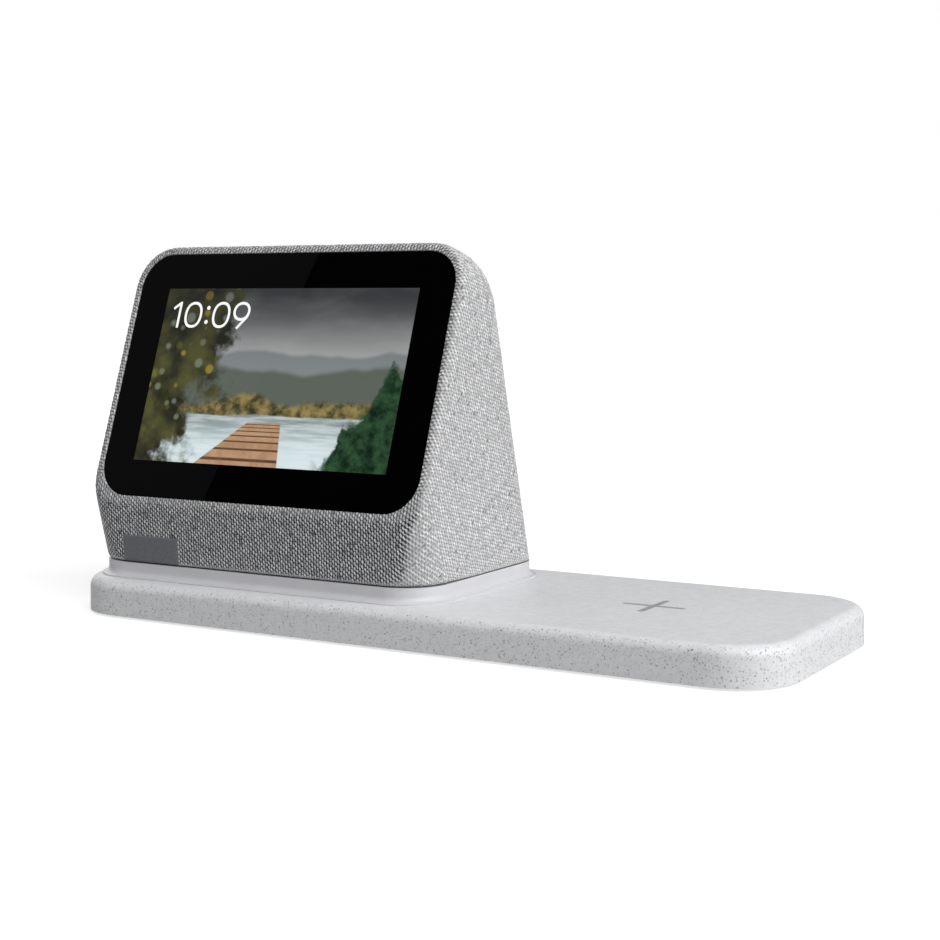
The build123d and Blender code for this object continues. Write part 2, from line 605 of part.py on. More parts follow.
small_screws = []
for side in (-1, 1):
    for rise in (-BOARD_POST[1], BOARD_POST[1]):
        small_screws.append(screen_face * Pos(side * BOARD_POST[0], rise) * pan_screw(BOARD_BACK, 5.0))
    small_screws.append(top_face * Pos(side * BUTTON_POST, 0) * pan_screw(BUTTON_BOARD_TOP - 1.0, 4.0))
nodes["board_screws"] = group(small_screws)

# Base of the head
PLUG = -4.8
FLANGE = -4.0
base_plate = prism(foot_outline(PLUG), PAD_SEAT, FABRIC_FOOT)
base_plate += prism(foot_outline(FLANGE), FABRIC_FOOT, BASE_FLANGE_TOP)
PLUG_FLOOR = PAD_SEAT + 2.0
hollow = prism(foot_outline(PLUG - 2.0), PLUG_FLOOR, BASE_FLANGE_TOP + 1)
for x, y in base_post_spots:
    hollow -= post(x, y, PLUG_FLOOR, BASE_FLANGE_TOP, 4.4)
base_plate -= hollow
for x, y in base_post_spots:
    base_plate -= countersink(x, y, PAD_SEAT, SCREW_HEAD, SCREW_SHANK, 6.0)
for x in pin_spots:
    base_plate -= post(x, PIN_Y, PAD_SEAT - 1, PLUG_FLOOR + 1, 1.6)
nodes["base_plate"] = base_plate
PAD_RING = (82.0, 42.0)
PAD_STRIP = 5.0
pad_outline = RectangleRounded(*PAD_RING, 10.0)
pad_outline -= RectangleRounded(PAD_RING[0] - 2 * PAD_STRIP, PAD_RING[1] - 2 * PAD_STRIP, 5.0)
nodes["base_pad"] = Pos(HEAD_X, NEST_Y) * prism(pad_outline, NEST_TOP, PAD_SEAT)
CONTACT_RADIUS = 1.5
CONTACT_HEAD = (2.2, 0.4)


def contact_pad(x):
    stud = post(x, PIN_Y, CONTACT_Z, PLUG_FLOOR, CONTACT_RADIUS)
    return stud + post(x, PIN_Y, PLUG_FLOOR, PLUG_FLOOR + CONTACT_HEAD[1], CONTACT_HEAD[0])


nodes["contact_pads"] = group(contact_pad(x) for x in pin_spots)
nodes["base_screws"] = group(screw(x, y, PAD_SEAT, SCREW_HEAD, SCREW_SHANK, 10.0) for x, y in base_post_spots)

# Loudspeaker, drawn about its own axis with the sound leaving along +Z
WALL_BACK = -WALL_INSET
LIP_TOP = WALL_BACK - 1.0
FRAME_FRONT = LIP_TOP - 0.3
PLATE_TOP = FRAME_FRONT - 5.6
PLATE_LOW = PLATE_TOP - 1.5
MAGNET_LOW = PLATE_LOW - 4.0
YOKE_LOW = MAGNET_LOW - 1.5
BOX_INNER = 21.4
BOX_OUTER = 22.6
BOX_BACK = YOKE_LOW - 1.2
FRAME_OUTER = 20.6
ROLL_CENTRE = 16.2
ROLL_RADIUS = 1.3
ROLL_SHEET = 0.35
CONE_EDGE = 14.6
CONE_SHEET = 0.5
NECK_RADIUS = 5.3
NECK_Z = FRAME_FRONT - 3.6
driver = rear_face * Pos(0, DRIVER_RISE)

box = tube(BOX_INNER, BOX_OUTER, BOX_BACK, WALL_BACK) + post(0, 0, BOX_BACK - 1.4, BOX_BACK, BOX_OUTER)
box += tube(8.0, 9.5, BOX_BACK, YOKE_LOW)
nodes["speaker_box"] = driver * box
nodes["speaker_gasket"] = driver * tube(18.4, FRAME_OUTER, LIP_TOP, WALL_BACK)
frame = tube(17.8, FRAME_OUTER, FRAME_FRONT - 1.0, FRAME_FRONT)
frame += spin(
    (17.8, FRAME_FRONT - 1.0), (19.0, FRAME_FRONT - 1.0), (13.4, PLATE_TOP + 0.9),
    (13.4, PLATE_TOP), (7.4, PLATE_TOP), (7.4, PLATE_TOP + 0.9), (12.2, PLATE_TOP + 0.9),
)
for turn in (45, 135):
    frame -= Rot(0, 0, turn) * Pos(0, 0, PLATE_TOP + 1.2) * Box(60, 12, 2.4, align=LOW)
nodes["speaker_frame"] = driver * frame
roll = Circle(ROLL_RADIUS) - Circle(ROLL_RADIUS - ROLL_SHEET)
roll &= Pos(0, -ROLL_RADIUS) * Rectangle(4 * ROLL_RADIUS, 2 * ROLL_RADIUS)
surround = revolve(Plane.XZ * Pos(ROLL_CENTRE, FRAME_FRONT + 0.3) * roll, axis=Axis.Z)
surround += tube(ROLL_CENTRE + ROLL_RADIUS - ROLL_SHEET, FRAME_OUTER - 0.4, FRAME_FRONT, LIP_TOP)
nodes["speaker_surround"] = driver * surround
nodes["top_plate"] = driver * tube(6.2, 11.0, PLATE_LOW, PLATE_TOP)
nodes["ring_magnet"] = driver * tube(7.2, 12.0, MAGNET_LOW, PLATE_LOW)
yoke = post(0, 0, YOKE_LOW, MAGNET_LOW, 11.0) + post(0, 0, MAGNET_LOW, PLATE_TOP, 4.6)
nodes["pole_yoke"] = driver * yoke
CAP_RISE = 1.5
CAP_SHEET = 0.6


def dome_arc(radius, low, rise):
    """Arc of a dome centred on the axis, from its rim at (radius, low) up to (0, low + rise)."""
    ball = (radius ** 2 + rise ** 2) / (2 * rise)
    lean = asin(radius / ball) / 2
    middle = (ball * sin(lean), low + rise - ball * (1 - cos(lean)))
    return ThreePointArc((radius, low), middle, (0, low + rise))


cap_inner = NECK_RADIUS - CAP_SHEET
cone_profile = (
    dome_arc(NECK_RADIUS, NECK_Z, CAP_RISE).edges()
    + Line((0, NECK_Z + CAP_RISE), (0, NECK_Z + CAP_RISE - CAP_SHEET)).edges()
    + dome_arc(cap_inner, NECK_Z - CONE_SHEET, CAP_RISE + CONE_SHEET - CAP_SHEET).edges()
    + Polyline(
        (cap_inner, NECK_Z - CONE_SHEET),
        (NECK_RADIUS + CAP_SHEET, NECK_Z - CONE_SHEET),
        (CONE_EDGE, LIP_TOP - CONE_SHEET),
        (CONE_EDGE, LIP_TOP),
        (CONE_EDGE - 0.9, LIP_TOP),
        (NECK_RADIUS, NECK_Z),
    ).edges()
)
cone = revolve(Plane.XZ * make_face(cone_profile), axis=Axis.Z)
nodes["speaker_cone"] = driver * cone
nodes["voice_coil"] = driver * tube(5.0, NECK_RADIUS + 0.6, PLATE_LOW - 1.2, NECK_Z - CONE_SHEET)

# Volume buttons, their switches and the microphones under the top
BUTTON_FLANGE = 0.9
BUTTON_LOW = WALL_BACK - 0.2
KEY_GAP = 0.8


def button(u):
    cap = prism(SlotOverall(BUTTON_LENGTH, BUTTON_WIDTH), BUTTON_LOW - BUTTON_FLANGE, BUTTON_PROUD)
    cap = fillet(cap.edges().group_by(Axis.Z)[-1], 0.4)
    flange = SlotOverall(BUTTON_LENGTH + 2.4, BUTTON_WIDTH + 0.8)
    cap += prism(flange, BUTTON_LOW - BUTTON_FLANGE, BUTTON_LOW)
    return top_face * Pos(u, 0) * cap


for name, u in button_spots.items():
    nodes[name] = button(u)
button_board = prism(RectangleRounded(84.0, 5.0, 1.0), BUTTON_BOARD_TOP - 1.0, BUTTON_BOARD_TOP)
for side in (-1, 1):
    button_board -= post(side * BUTTON_POST, 0, BUTTON_BOARD_TOP - 2, BUTTON_BOARD_TOP + 1, 1.0)
nodes["button_board"] = top_face * button_board
key_height = BUTTON_LOW - BUTTON_FLANGE - KEY_GAP - BUTTON_BOARD_TOP
KEY_CASE = 4.2
KEY_STEM = 1.2


def tact_switch(u):
    key = block(u, 0, BUTTON_BOARD_TOP, KEY_CASE, KEY_CASE, key_height * 0.6)
    key += post(u, 0, BUTTON_BOARD_TOP, BUTTON_BOARD_TOP + key_height, KEY_STEM)
    return top_face * key


nodes["tact_switches"] = group(tact_switch(u) for u in button_spots.values())
MIC_TOP = BUTTON_BOARD_TOP + 1.0
nodes["mics"] = group(top_face * block(side * MIC_X, 0, BUTTON_BOARD_TOP, 3.8, 3.0, 1.0) for side in (-1, 1))
nodes["mic_boots"] = group(
    top_face * Pos(side * MIC_X, 0) * tube(0.7, 1.7, MIC_TOP, WALL_BACK - 0.1) for side in (-1, 1)
)

# Microphone switch on the rear
KNOB = (4.4, 2.4)
SLOT = (KNOB[0] + SWITCH_TRAVEL + 0.6, KNOB[1] + 0.6)
KNOB_PROUD = 0.9
switch_spot = rear_face * Pos(SWITCH_X, SWITCH_RISE)
BEZEL_FLANGE = (1.2, 0.8)
bezel = prism(SlotOverall(*BEZEL), WALL_BACK, 0.2)
flange = SlotOverall(BEZEL[0] + 2 * BEZEL_FLANGE[0], BEZEL[1] + 2 * BEZEL_FLANGE[0])
bezel += prism(flange, WALL_BACK - BEZEL_FLANGE[1], WALL_BACK)
bezel -= prism(RectangleRounded(*SLOT, 0.6), WALL_BACK - 2, 2)
nodes["switch_bezel"] = switch_spot * bezel
CARRIAGE_TOP = WALL_BACK - 1.1
CARRIAGE_LOW = CARRIAGE_TOP - 1.0
knob = prism(RectangleRounded(*KNOB, 0.5), CARRIAGE_TOP, KNOB_PROUD)
knob += prism(Rectangle(8.0, 4.0), CARRIAGE_LOW, CARRIAGE_TOP)
for groove in (-1, 0, 1):
    knob -= Pos(groove * 1.1, 0) * prism(Rectangle(0.4, 4), KNOB_PROUD - 0.3, KNOB_PROUD + 1)
nodes["mic_switch_knob"] = switch_spot * Pos(-SWITCH_TRAVEL / 2, 0) * knob
SWITCH_TOP = CARRIAGE_LOW - 0.4
SWITCH_LOW = SWITCH_TOP - 3.2
SWITCH_EAR = 1.2
ear_height = WALL_BACK - BEZEL_FLANGE[1] - SWITCH_LOW
switch_body = prism(Rectangle(14.0, 6.0), SWITCH_LOW, SWITCH_TOP)
for side in (-1, 1):
    switch_body += block(side * 7.4, 0, SWITCH_LOW, SWITCH_EAR, 6.0, ear_height)
nodes["switch_body"] = switch_spot * switch_body

# Power inlet on the rear of the head
INLET_BORE = 3.15
inlet = post(0, 0, WALL_BACK, -0.2, INLET_RADIUS) + block(0, 0, WALL_BACK - 9.0, 10.4, 10.0, 9.0)
inlet -= post(0, 0, WALL_BACK - 7.0, 1, INLET_BORE)
inlet_spot = rear_face * Pos(0, INLET_RISE)
nodes["head_power_jack"] = inlet_spot * inlet
nodes["head_jack_pin"] = inlet_spot * post(0, 0, WALL_BACK - 7.0, -1.4, 1.0)

# Aerial on the inner face of the side wall
aerial_x = HEAD_X - HEAD_WIDTH / 2 + WALL_INSET
nodes["antenna"] = block(aerial_x + 0.1, DISPLAY_Y + 22.0, DISPLAY_Z - 38, 0.2, 14.0, 26.0)

os.makedirs("parts", exist_ok=True)
for name, shape in nodes.items():
    export_step(shape, f"parts/{name}.step")
print(len(nodes), "nodes")
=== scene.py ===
import json
from math import cos, pi, radians, sin

import bmesh
import bpy
import numpy as np
from mathutils import Matrix, Vector
from mathutils.bvhtree import BVHTree


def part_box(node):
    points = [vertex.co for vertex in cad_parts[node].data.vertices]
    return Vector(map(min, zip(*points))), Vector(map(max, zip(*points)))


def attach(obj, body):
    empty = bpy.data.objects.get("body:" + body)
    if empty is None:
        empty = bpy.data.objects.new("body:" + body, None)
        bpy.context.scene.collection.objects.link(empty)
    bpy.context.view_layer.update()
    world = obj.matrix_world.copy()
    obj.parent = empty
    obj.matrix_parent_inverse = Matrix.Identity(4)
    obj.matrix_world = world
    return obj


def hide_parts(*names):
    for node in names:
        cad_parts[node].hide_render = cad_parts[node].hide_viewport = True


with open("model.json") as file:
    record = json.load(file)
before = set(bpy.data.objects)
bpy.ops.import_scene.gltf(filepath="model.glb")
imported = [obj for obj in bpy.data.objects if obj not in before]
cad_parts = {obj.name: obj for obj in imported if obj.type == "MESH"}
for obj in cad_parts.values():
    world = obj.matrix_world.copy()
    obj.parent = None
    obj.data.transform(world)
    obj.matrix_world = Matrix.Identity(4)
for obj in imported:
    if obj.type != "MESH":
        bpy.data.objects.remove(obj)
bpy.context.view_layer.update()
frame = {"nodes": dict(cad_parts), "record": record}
MM = 0.001

# Head: display centre and the directions of its faces
DISPLAY = Vector((-48.0, -20.2, 69.2)) * MM
SCREEN_TILT = radians(19.8)
TOP_SLOPE = radians(14.0)
REAR_LEAN = radians(15.4)
CHIN_LEAN = radians(2.4)
SCREEN_RISE = 39.5 * MM
CHIN_FOOT = Vector((0, -12.5, -53.9)) * MM
REAR_FOOT = Vector((0, 55.2, -53.9)) * MM
CHIN_CORNER = 12.6 * MM
CHIN_CORNER_TOP = Vector((0, -7.2, -36.7)) * MM
HEAD_CENTRE = DISPLAY + Vector((0, 20, -15)) * MM
ACROSS = Vector((1, 0, 0))
SCREEN_UP = Vector((0, sin(SCREEN_TILT), cos(SCREEN_TILT)))
SCREEN_OUT = Vector((0, -cos(SCREEN_TILT), sin(SCREEN_TILT)))
TOP_BACK = Vector((0, cos(TOP_SLOPE), -sin(TOP_SLOPE)))
TOP_OUT = Vector((0, sin(TOP_SLOPE), cos(TOP_SLOPE)))
REAR_UP = Vector((0, -sin(REAR_LEAN), cos(REAR_LEAN)))
REAR_OUT = Vector((0, cos(REAR_LEAN), sin(REAR_LEAN)))
CHIN_UP = Vector((0, -sin(CHIN_LEAN), cos(CHIN_LEAN)))
CHIN_OUT = Vector((0, -cos(CHIN_LEAN), -sin(CHIN_LEAN)))

# Cover glass and picture, in the screen plane
GLASS = Vector((109.0, 73.7)) * MM
GLASS_CORNER = 10.0 * MM
GLASS_GAP = 0.12 * MM
GLASS_SINK = 0.2 * MM
PICTURE = Vector((87.1, 52.3)) * MM
PIXEL_ROW = 0.22 * MM

# Controls and inlet in the fabric
BUTTON = Vector((15.0, 4.0)) * MM
BUTTON_GAP = 0.3 * MM
BUTTON_PROUD = 0.5 * MM
BUTTON_SETBACK = 6.2 * MM
BUTTON_OFFSET = 13.0 * MM
BEZEL = Vector((14.0, 7.0)) * MM
BEZEL_SPOT = Vector((-34.0, 14.0)) * MM
INLET_SPOT = Vector((0.0, -27.5)) * MM
INLET_RADIUS = 5.0 * MM
REAR_GAP = 0.1 * MM
REAR_CENTRE_RISE = 42.0 * MM

# Weave: the pitch of the yarns, which run away from the glass, and of the cross yarns, which run round it
SIDE_PITCH = (0.97 * MM, 0.64 * MM)
CHIN_PITCH = (0.86 * MM, 0.66 * MM)
WEAVE_DEPTH = 0.09 * MM
YARN_SPREAD = (0.75, 1.25)
CROSSING_SPREAD = (0.8, 1.2)
SMOOTHING_PASSES = 4
# In counts of yarns and crossings: how far a yarn strays, the half size of a float, and the rarer floats
YARN_STRAY = 0.9
FLOAT_HALF_WIDTH = 0.37
FLOAT_HALF_LENGTH = 0.92
GREY_SHARE = 0.10
DARK_SHARE = 0.07

# Fabric panels: the start of each lattice and its reach from there, then the hems and seams
OVER_SETBACK = 5.0 * MM
OVER_HALF_GIRTH = 149.4 * MM
OVER_FORE_AND_AFT = (32.6 * MM, 73.0 * MM)
REAR_HALF_WIDTH = 64.0 * MM
REAR_DOWN_AND_UP = (47.4 * MM, 53.8 * MM)
CHIN_START_RISE = 8.0 * MM
CHIN_HALF_WIDTH = 80.0 * MM
CHIN_UP_AND_DOWN = (21.8 * MM, 11.2 * MM)
FIRST_YARNS = {"over": 0, "rear": 1000, "chin": 2000}
HEM = 0.9 * MM
SEAM_INSET = 3.2 * MM
SEAM_LEVEL = 0.8 * MM
FOOT_GAP = 0.05 * MM
CORNER_STEPS = 8
HOLE_MARGIN = 2.0 * MM
HOLE_DEPTH = 3.0 * MM

# Tolerances
AT_FOOT = 1e-6
SHORTEST_EDGE = 1e-7
STANDSTILL = 1e-9
NOT_ZERO = 1e-15

# Tag on the chin
TAG_HEIGHT = 7.7 * MM
TAG_THICKNESS = 0.35 * MM
TAG_SUNK = 0.02 * MM
TAG_EDGE = 0.35 * MM
TAG_RIB = 0.015 * MM
TAG_RIB_FADE = 0.3 * MM
TAG_GRID = (76, 28)
TAG_THREAD = 0.42 * MM

# Clock figures, in millimetres from the display's centre
STROKE = 0.82
DIGIT_FOOT = 14.5
DIGIT_TOP = 21.65
ONE_STEM = -37.95
ONE_FLAG = ((0.16, 0.0), (-2.24, -1.81), (-1.79, -2.46), (0.0, -1.11))
ZERO_CENTRES = (-32.7, -22.45)
ZERO_HALF_WIDTH = 2.78
ZERO_SQUARENESS = 2.3
COLON_CENTRE = -27.5
COLON_RISES = (15.9, 20.2)
COLON_RADIUS = 0.62
COLON_STEPS = 16
NINE_CENTRE = -15.2
NINE_HALF = (2.6, 2.45)
NINE_SQUARENESS = 2.1
NINE_SHOULDER = ((2.6, -0.2), (2.25, -1.6))
NINE_TAIL = (-16.1, 14.0)
FIGURES_SINK = GLASS_SINK - 0.03 * MM

# Raised marks on the volume buttons
MARK_LENGTH = 2.6 * MM
MARK_WIDTH = 0.5 * MM
MARK_HEIGHT = 0.12 * MM
MARK_EDGE = 0.04 * MM

# Plus mark of the charging pad, an inlay in the deck's recess
PAD_CENTRE = Vector((60.3, 0.0, 10.6)) * MM
PAD_SPAN = 17.94 * MM
PAD_STROKE = 1.94 * MM
PAD_LOW = -0.38 * MM
PAD_HIGH = -0.03 * MM
PAD_EDGE = 0.08 * MM

# Camera of the photograph
CAMERA_SPOT = Vector((245.34, -411.26, 92.93)) * MM
CAMERA_AZIMUTH = radians(30.349)
CAMERA_ELEVATION = radians(5.906)
CAMERA_ROLL = radians(-0.134)
CAMERA_FOCAL_PX = 1732.855
PHOTO_PX = 940
SENSOR = 36.0

# Studio: the floor, what each kind of ray sees of the surround, and the lamps
FLOOR_HALF = 12.0
FLOOR_DROP = 0.0001
FLOOR_IN_GLOSS = 0.3
# The floor glows less near the object: two distances, and the glow at each
FLOOR_GLOW = (0.25, 0.8, 0.72, 1.0)
SURROUND = {"Is Camera Ray": 1.0, "Is Transmission Ray": 1.0, "Is Glossy Ray": 0.2, "Is Diffuse Ray": 0.1}
# Each lamp: name, place, aim, size, power
LAMPS = (
    ("key", (0.75, -0.55, 0.9), (0.0, 0.0, 0.03), (0.7, 0.7), 8.5),
    ("side", (0.95, 0.0, 0.85), (-0.03, 0.0, 0.05), (0.7, 0.7), 5.3),
    ("low_side", (1.0, 0.1, 0.35), (-0.03, 0.0, 0.05), (0.6, 0.6), 2.8),
    ("overhead", (-0.1, 0.0, 1.2), (0.0, 0.0, 0.0), (1.2, 1.2), 1.7),
    ("reflector", (-0.757, -0.443, 0.494), (-0.152, 0.201, 0.026), (0.45, 1.0), 1.45),
    ("rear_fill", (-1.0, 0.6, 0.3), (0.0, 0.0, 0.05), (0.8, 0.8), 2.8),
)


def linear(red, green, blue):
    """A colour given in display values from 0 to 255, as the shader takes it."""
    parts = []
    for value in (red, green, blue):
        share = value / 255
        parts.append(share / 12.92 if share <= 0.04045 else ((share + 0.055) / 1.055) ** 2.4)
    return (*parts, 1.0)


def scaled(colour, factor):
    """A colour made darker or paler by a factor."""
    return tuple(part * factor for part in colour[:3]) + (1.0,)


class Paint:
    """One material's node tree. A value is a socket of another node or a constant."""

    def __init__(self, name, **constants):
        self.material = bpy.data.materials.new(name)
        self.material.use_nodes = True
        self.tree = self.material.node_tree
        self.shader = self.tree.nodes["Principled BSDF"]
        for socket, value in constants.items():
            self.put(socket.replace("_", " ").title().replace("Ior", "IOR"), value)

    def feed(self, value, socket):
        if isinstance(value, bpy.types.NodeSocket):
            self.tree.links.new(value, socket)
        else:
            socket.default_value = value

    def put(self, socket, value):
        self.feed(value, self.shader.inputs[socket])

    def node(self, kind, *inputs, **settings):
        made = self.tree.nodes.new("ShaderNode" + kind)
        for key, value in settings.items():
            setattr(made, key, value)
        for socket, value in zip(made.inputs, inputs):
            if value is not None:
                self.feed(value, socket)
        return made

    def named(self, kind, values, **settings):
        """A node whose inputs are fed by name."""
        made = self.node(kind, **settings)
        for socket, value in values.items():
            self.feed(value, made.inputs[socket])
        return made

    def math(self, operation, a, b=0.0, c=0.0):
        return self.node("Math", a, b, c, operation=operation).outputs[0]

    def dot(self, vector, direction):
        return self.node("VectorMath", vector, direction, operation="DOT_PRODUCT").outputs["Value"]

    def shift(self, vector, offset):
        return self.node("VectorMath", vector, offset, operation="ADD").outputs[0]

    def stretch(self, vector, factors):
        return self.node("VectorMath", vector, factors, operation="MULTIPLY").outputs[0]

    def combine(self, x, y, z=0.0):
        return self.node("CombineXYZ", x, y, z).outputs[0]

    def split(self, vector):
        return self.node("SeparateXYZ", vector).outputs

    def place(self):
        """The point on the piece, in metres in the part's own frame."""
        return self.node("TexCoord").outputs["Object"]

    def ramp(self, value, low, high, to_low=0.0, to_high=1.0):
        """A smooth step of value from low to high."""
        made = self.node("MapRange", value, low, high, to_low, to_high, interpolation_type="SMOOTHSTEP")
        return made.outputs[0]

    def mix(self, share, first, second):
        made = self.node("Mix", data_type="RGBA")
        self.feed(share, made.inputs[0])
        self.feed(first, made.inputs[6])
        self.feed(second, made.inputs[7])
        return made.outputs[2]

    def noise(self, vector, scale, detail=2.0, roughness=0.5, output=0):
        values = {"Vector": vector, "Scale": scale, "Detail": detail, "Roughness": roughness}
        return self.named("TexNoise", values).outputs[output]

    def cells(self, vector, scale, feature="F1", scatter=1.0):
        """Voronoi cells: the distance to the nearest centre or edge, then a random colour for each cell."""
        values = {"Vector": vector, "Scale": scale, "Randomness": scatter}
        made = self.named("TexVoronoi", values, feature=feature)
        return [output for output in made.outputs if output.name in ("Distance", "Color")]

    def chance(self, vector):
        """A random value from 0 to 1 for each whole-number vector."""
        return self.node("TexWhiteNoise", vector, noise_dimensions="3D").outputs["Value"]

    def bump(self, height, distance, strength):
        values = {"Strength": strength, "Distance": distance, "Height": height}
        self.put("Normal", self.named("Bump", values).outputs[0])


# Materials
def moulded(name, colour, roughness):
    """Moulded plastic: a fine spark-eroded grain and a faint drift of colour."""
    paint = Paint(name, specular_ior_level=0.4)
    spot = paint.place()
    cloud = paint.noise(spot, 90.0, 3.0)
    grains = paint.noise(spot, 2600.0, 2.0)
    paint.put("Base Color", paint.mix(paint.ramp(cloud, 0.3, 0.7), scaled(colour, 0.9), colour))
    paint.put("Roughness", paint.ramp(grains, 0.25, 0.75, roughness - 0.06, roughness + 0.06))
    paint.bump(grains, 0.03 * MM, 0.35)
    return paint.material


def metal(name, colour, roughness):
    """Plated or brushed metal with fine level lines."""
    paint = Paint(name, metallic=1.0)
    lines = paint.noise(paint.stretch(paint.place(), (1.0, 1.0, 12.0)), 900.0, 3.0)
    paint.put("Base Color", paint.mix(lines, scaled(colour, 0.78), colour))
    paint.put("Roughness", paint.ramp(lines, 0.2, 0.8, roughness - 0.08, roughness + 0.1))
    paint.bump(lines, 0.01 * MM, 0.4)
    return paint.material


def rubber(name, colour):
    """Matt elastomer with a dusty bloom."""
    paint = Paint(name, specular_ior_level=0.25)
    spot = paint.place()
    bloom = paint.noise(spot, 400.0, 4.0, 0.6)
    paint.put("Base Color", paint.mix(paint.ramp(bloom, 0.45, 0.8), colour, scaled(colour, 1.5)))
    paint.put("Roughness", paint.ramp(bloom, 0.2, 0.8, 0.78, 0.92))
    paint.bump(paint.noise(spot, 3000.0, 2.0), 0.03 * MM, 0.5)
    return paint.material


def sintered(name, colour, roughness, grain_size):
    """Pressed grains or fibres: ferrite, paper and foam."""
    paint = Paint(name, specular_ior_level=0.3)
    distance, tone = paint.cells(paint.place(), 1 / grain_size)
    paint.put("Base Color", paint.mix(tone, colour, scaled(colour, 1.7)))
    paint.put("Roughness", paint.ramp(distance, 0.0, 0.8, roughness, roughness + 0.1))
    paint.bump(distance, 0.04 * MM, 0.5)
    return paint.material


def circuit(name):
    """Solder mask over copper tracks on a fine grid."""
    paint = Paint(name, specular_ior_level=0.5)
    spot = paint.place()
    distance = paint.cells(paint.stretch(spot, (1.0, 2.0, 1.0)), 520.0, "DISTANCE_TO_EDGE")[0]
    track = paint.ramp(distance, 0.03, 0.06, 1.0, 0.0)
    paint.put("Base Color", paint.mix(track, linear(16, 74, 48), linear(34, 112, 74)))
    paint.put("Roughness", paint.ramp(paint.noise(spot, 600.0), 0.3, 0.7, 0.32, 0.42))
    paint.bump(track, 0.03 * MM, 0.6)
    return paint.material


def wound_copper(name):
    """Enamelled wire: fine strands with a warm drift of colour."""
    paint = Paint(name, metallic=0.9, coat_weight=0.4, coat_roughness=0.15)
    spot = paint.place()
    strands = paint.noise(paint.stretch(spot, (1.0, 1.0, 8.0)), 1800.0, 2.0)
    paint.put("Base Color", paint.mix(strands, linear(150, 82, 44), linear(206, 124, 74)))
    paint.put("Roughness", paint.ramp(strands, 0.2, 0.8, 0.25, 0.4))
    paint.bump(strands, 0.02 * MM, 0.5)
    return paint.material


def speckled_shell(name):
    """Off-white recycled plastic with fine dark, ochre and blue-grey flecks, fewer and fainter on faces that
    look up.
    """
    paint = Paint(name, specular_ior_level=0.5)
    spot = paint.place()
    cloud = paint.noise(spot, 420.0, 4.0, 0.65)
    colour = paint.mix(paint.ramp(cloud, 0.3, 0.7), linear(219, 220, 222), linear(228, 229, 231))
    flat_top = paint.ramp(paint.split(paint.node("NewGeometry").outputs["Normal"])[2], 0.75, 0.97)
    # Each layer: cell size, share of cells that hold a fleck, fleck radius in cells, depth of tint, colour
    layers = (
        (0.55, 0.45, 0.34, 0.36, linear(148, 151, 156)),
        (0.68, 0.35, 0.34, 0.36, linear(138, 138, 137)),
        (0.66, 0.18, 0.29, 0.62, linear(152, 132, 96)),
        (0.68, 0.16, 0.29, 0.62, linear(112, 126, 148)),
        (0.80, 0.13, 0.23, 0.72, linear(70, 68, 66)),
    )
    for number, (size, share, radius, tint, fleck) in enumerate(layers):
        moved = paint.shift(spot, (0.37 * number, 0.11 * number, 0.23 * number))
        distance, tone = paint.cells(moved, 1 / (size * MM))
        parts = paint.node("SeparateColor", tone).outputs
        chosen = paint.math("LESS_THAN", parts[0], paint.ramp(flat_top, 0.0, 1.0, share, share * 0.3))
        reach = paint.math("MULTIPLY_ADD", parts[1], radius, radius * 0.4)
        inside = paint.ramp(paint.math("SUBTRACT", reach, distance), -0.04, 0.06)
        strength = paint.ramp(flat_top, 0.0, 1.0, tint, tint * 0.35)
        cover = paint.math("MULTIPLY", paint.math("MULTIPLY", chosen, inside), strength)
        colour = paint.mix(cover, colour, fleck)
    paint.put("Base Color", colour)
    grains = paint.noise(spot, 2200.0, 2.0)
    paint.put("Roughness", paint.ramp(grains, 0.25, 0.75, 0.4, 0.5))
    paint.bump(grains, 0.03 * MM, 0.3)
    return paint.material


def satin_collar(name):
    """Smooth translucent diffuser plastic."""
    paint = Paint(name, specular_ior_level=0.45, subsurface_weight=0.12, subsurface_scale=1.0 * MM,
                  subsurface_radius=(1.0, 1.0, 1.0))
    spot = paint.place()
    cloud = paint.noise(spot, 120.0, 2.0)
    paint.put("Base Color", paint.mix(cloud, linear(204, 204, 208), linear(212, 212, 215)))
    grains = paint.noise(spot, 3200.0, 2.0)
    paint.put("Roughness", paint.ramp(grains, 0.25, 0.75, 0.3, 0.38))
    paint.bump(grains, 0.012 * MM, 0.3)
    return paint.material


def lamp_lens(name):
    """Clear lens over yellow phosphor."""
    paint = Paint(name, specular_ior_level=0.6, roughness=0.15, coat_weight=0.5, coat_roughness=0.05)
    grains = paint.noise(paint.place(), 2500.0, 2.0)
    paint.put("Base Color", paint.mix(grains, linear(214, 196, 120), linear(240, 232, 190)))
    return paint.material


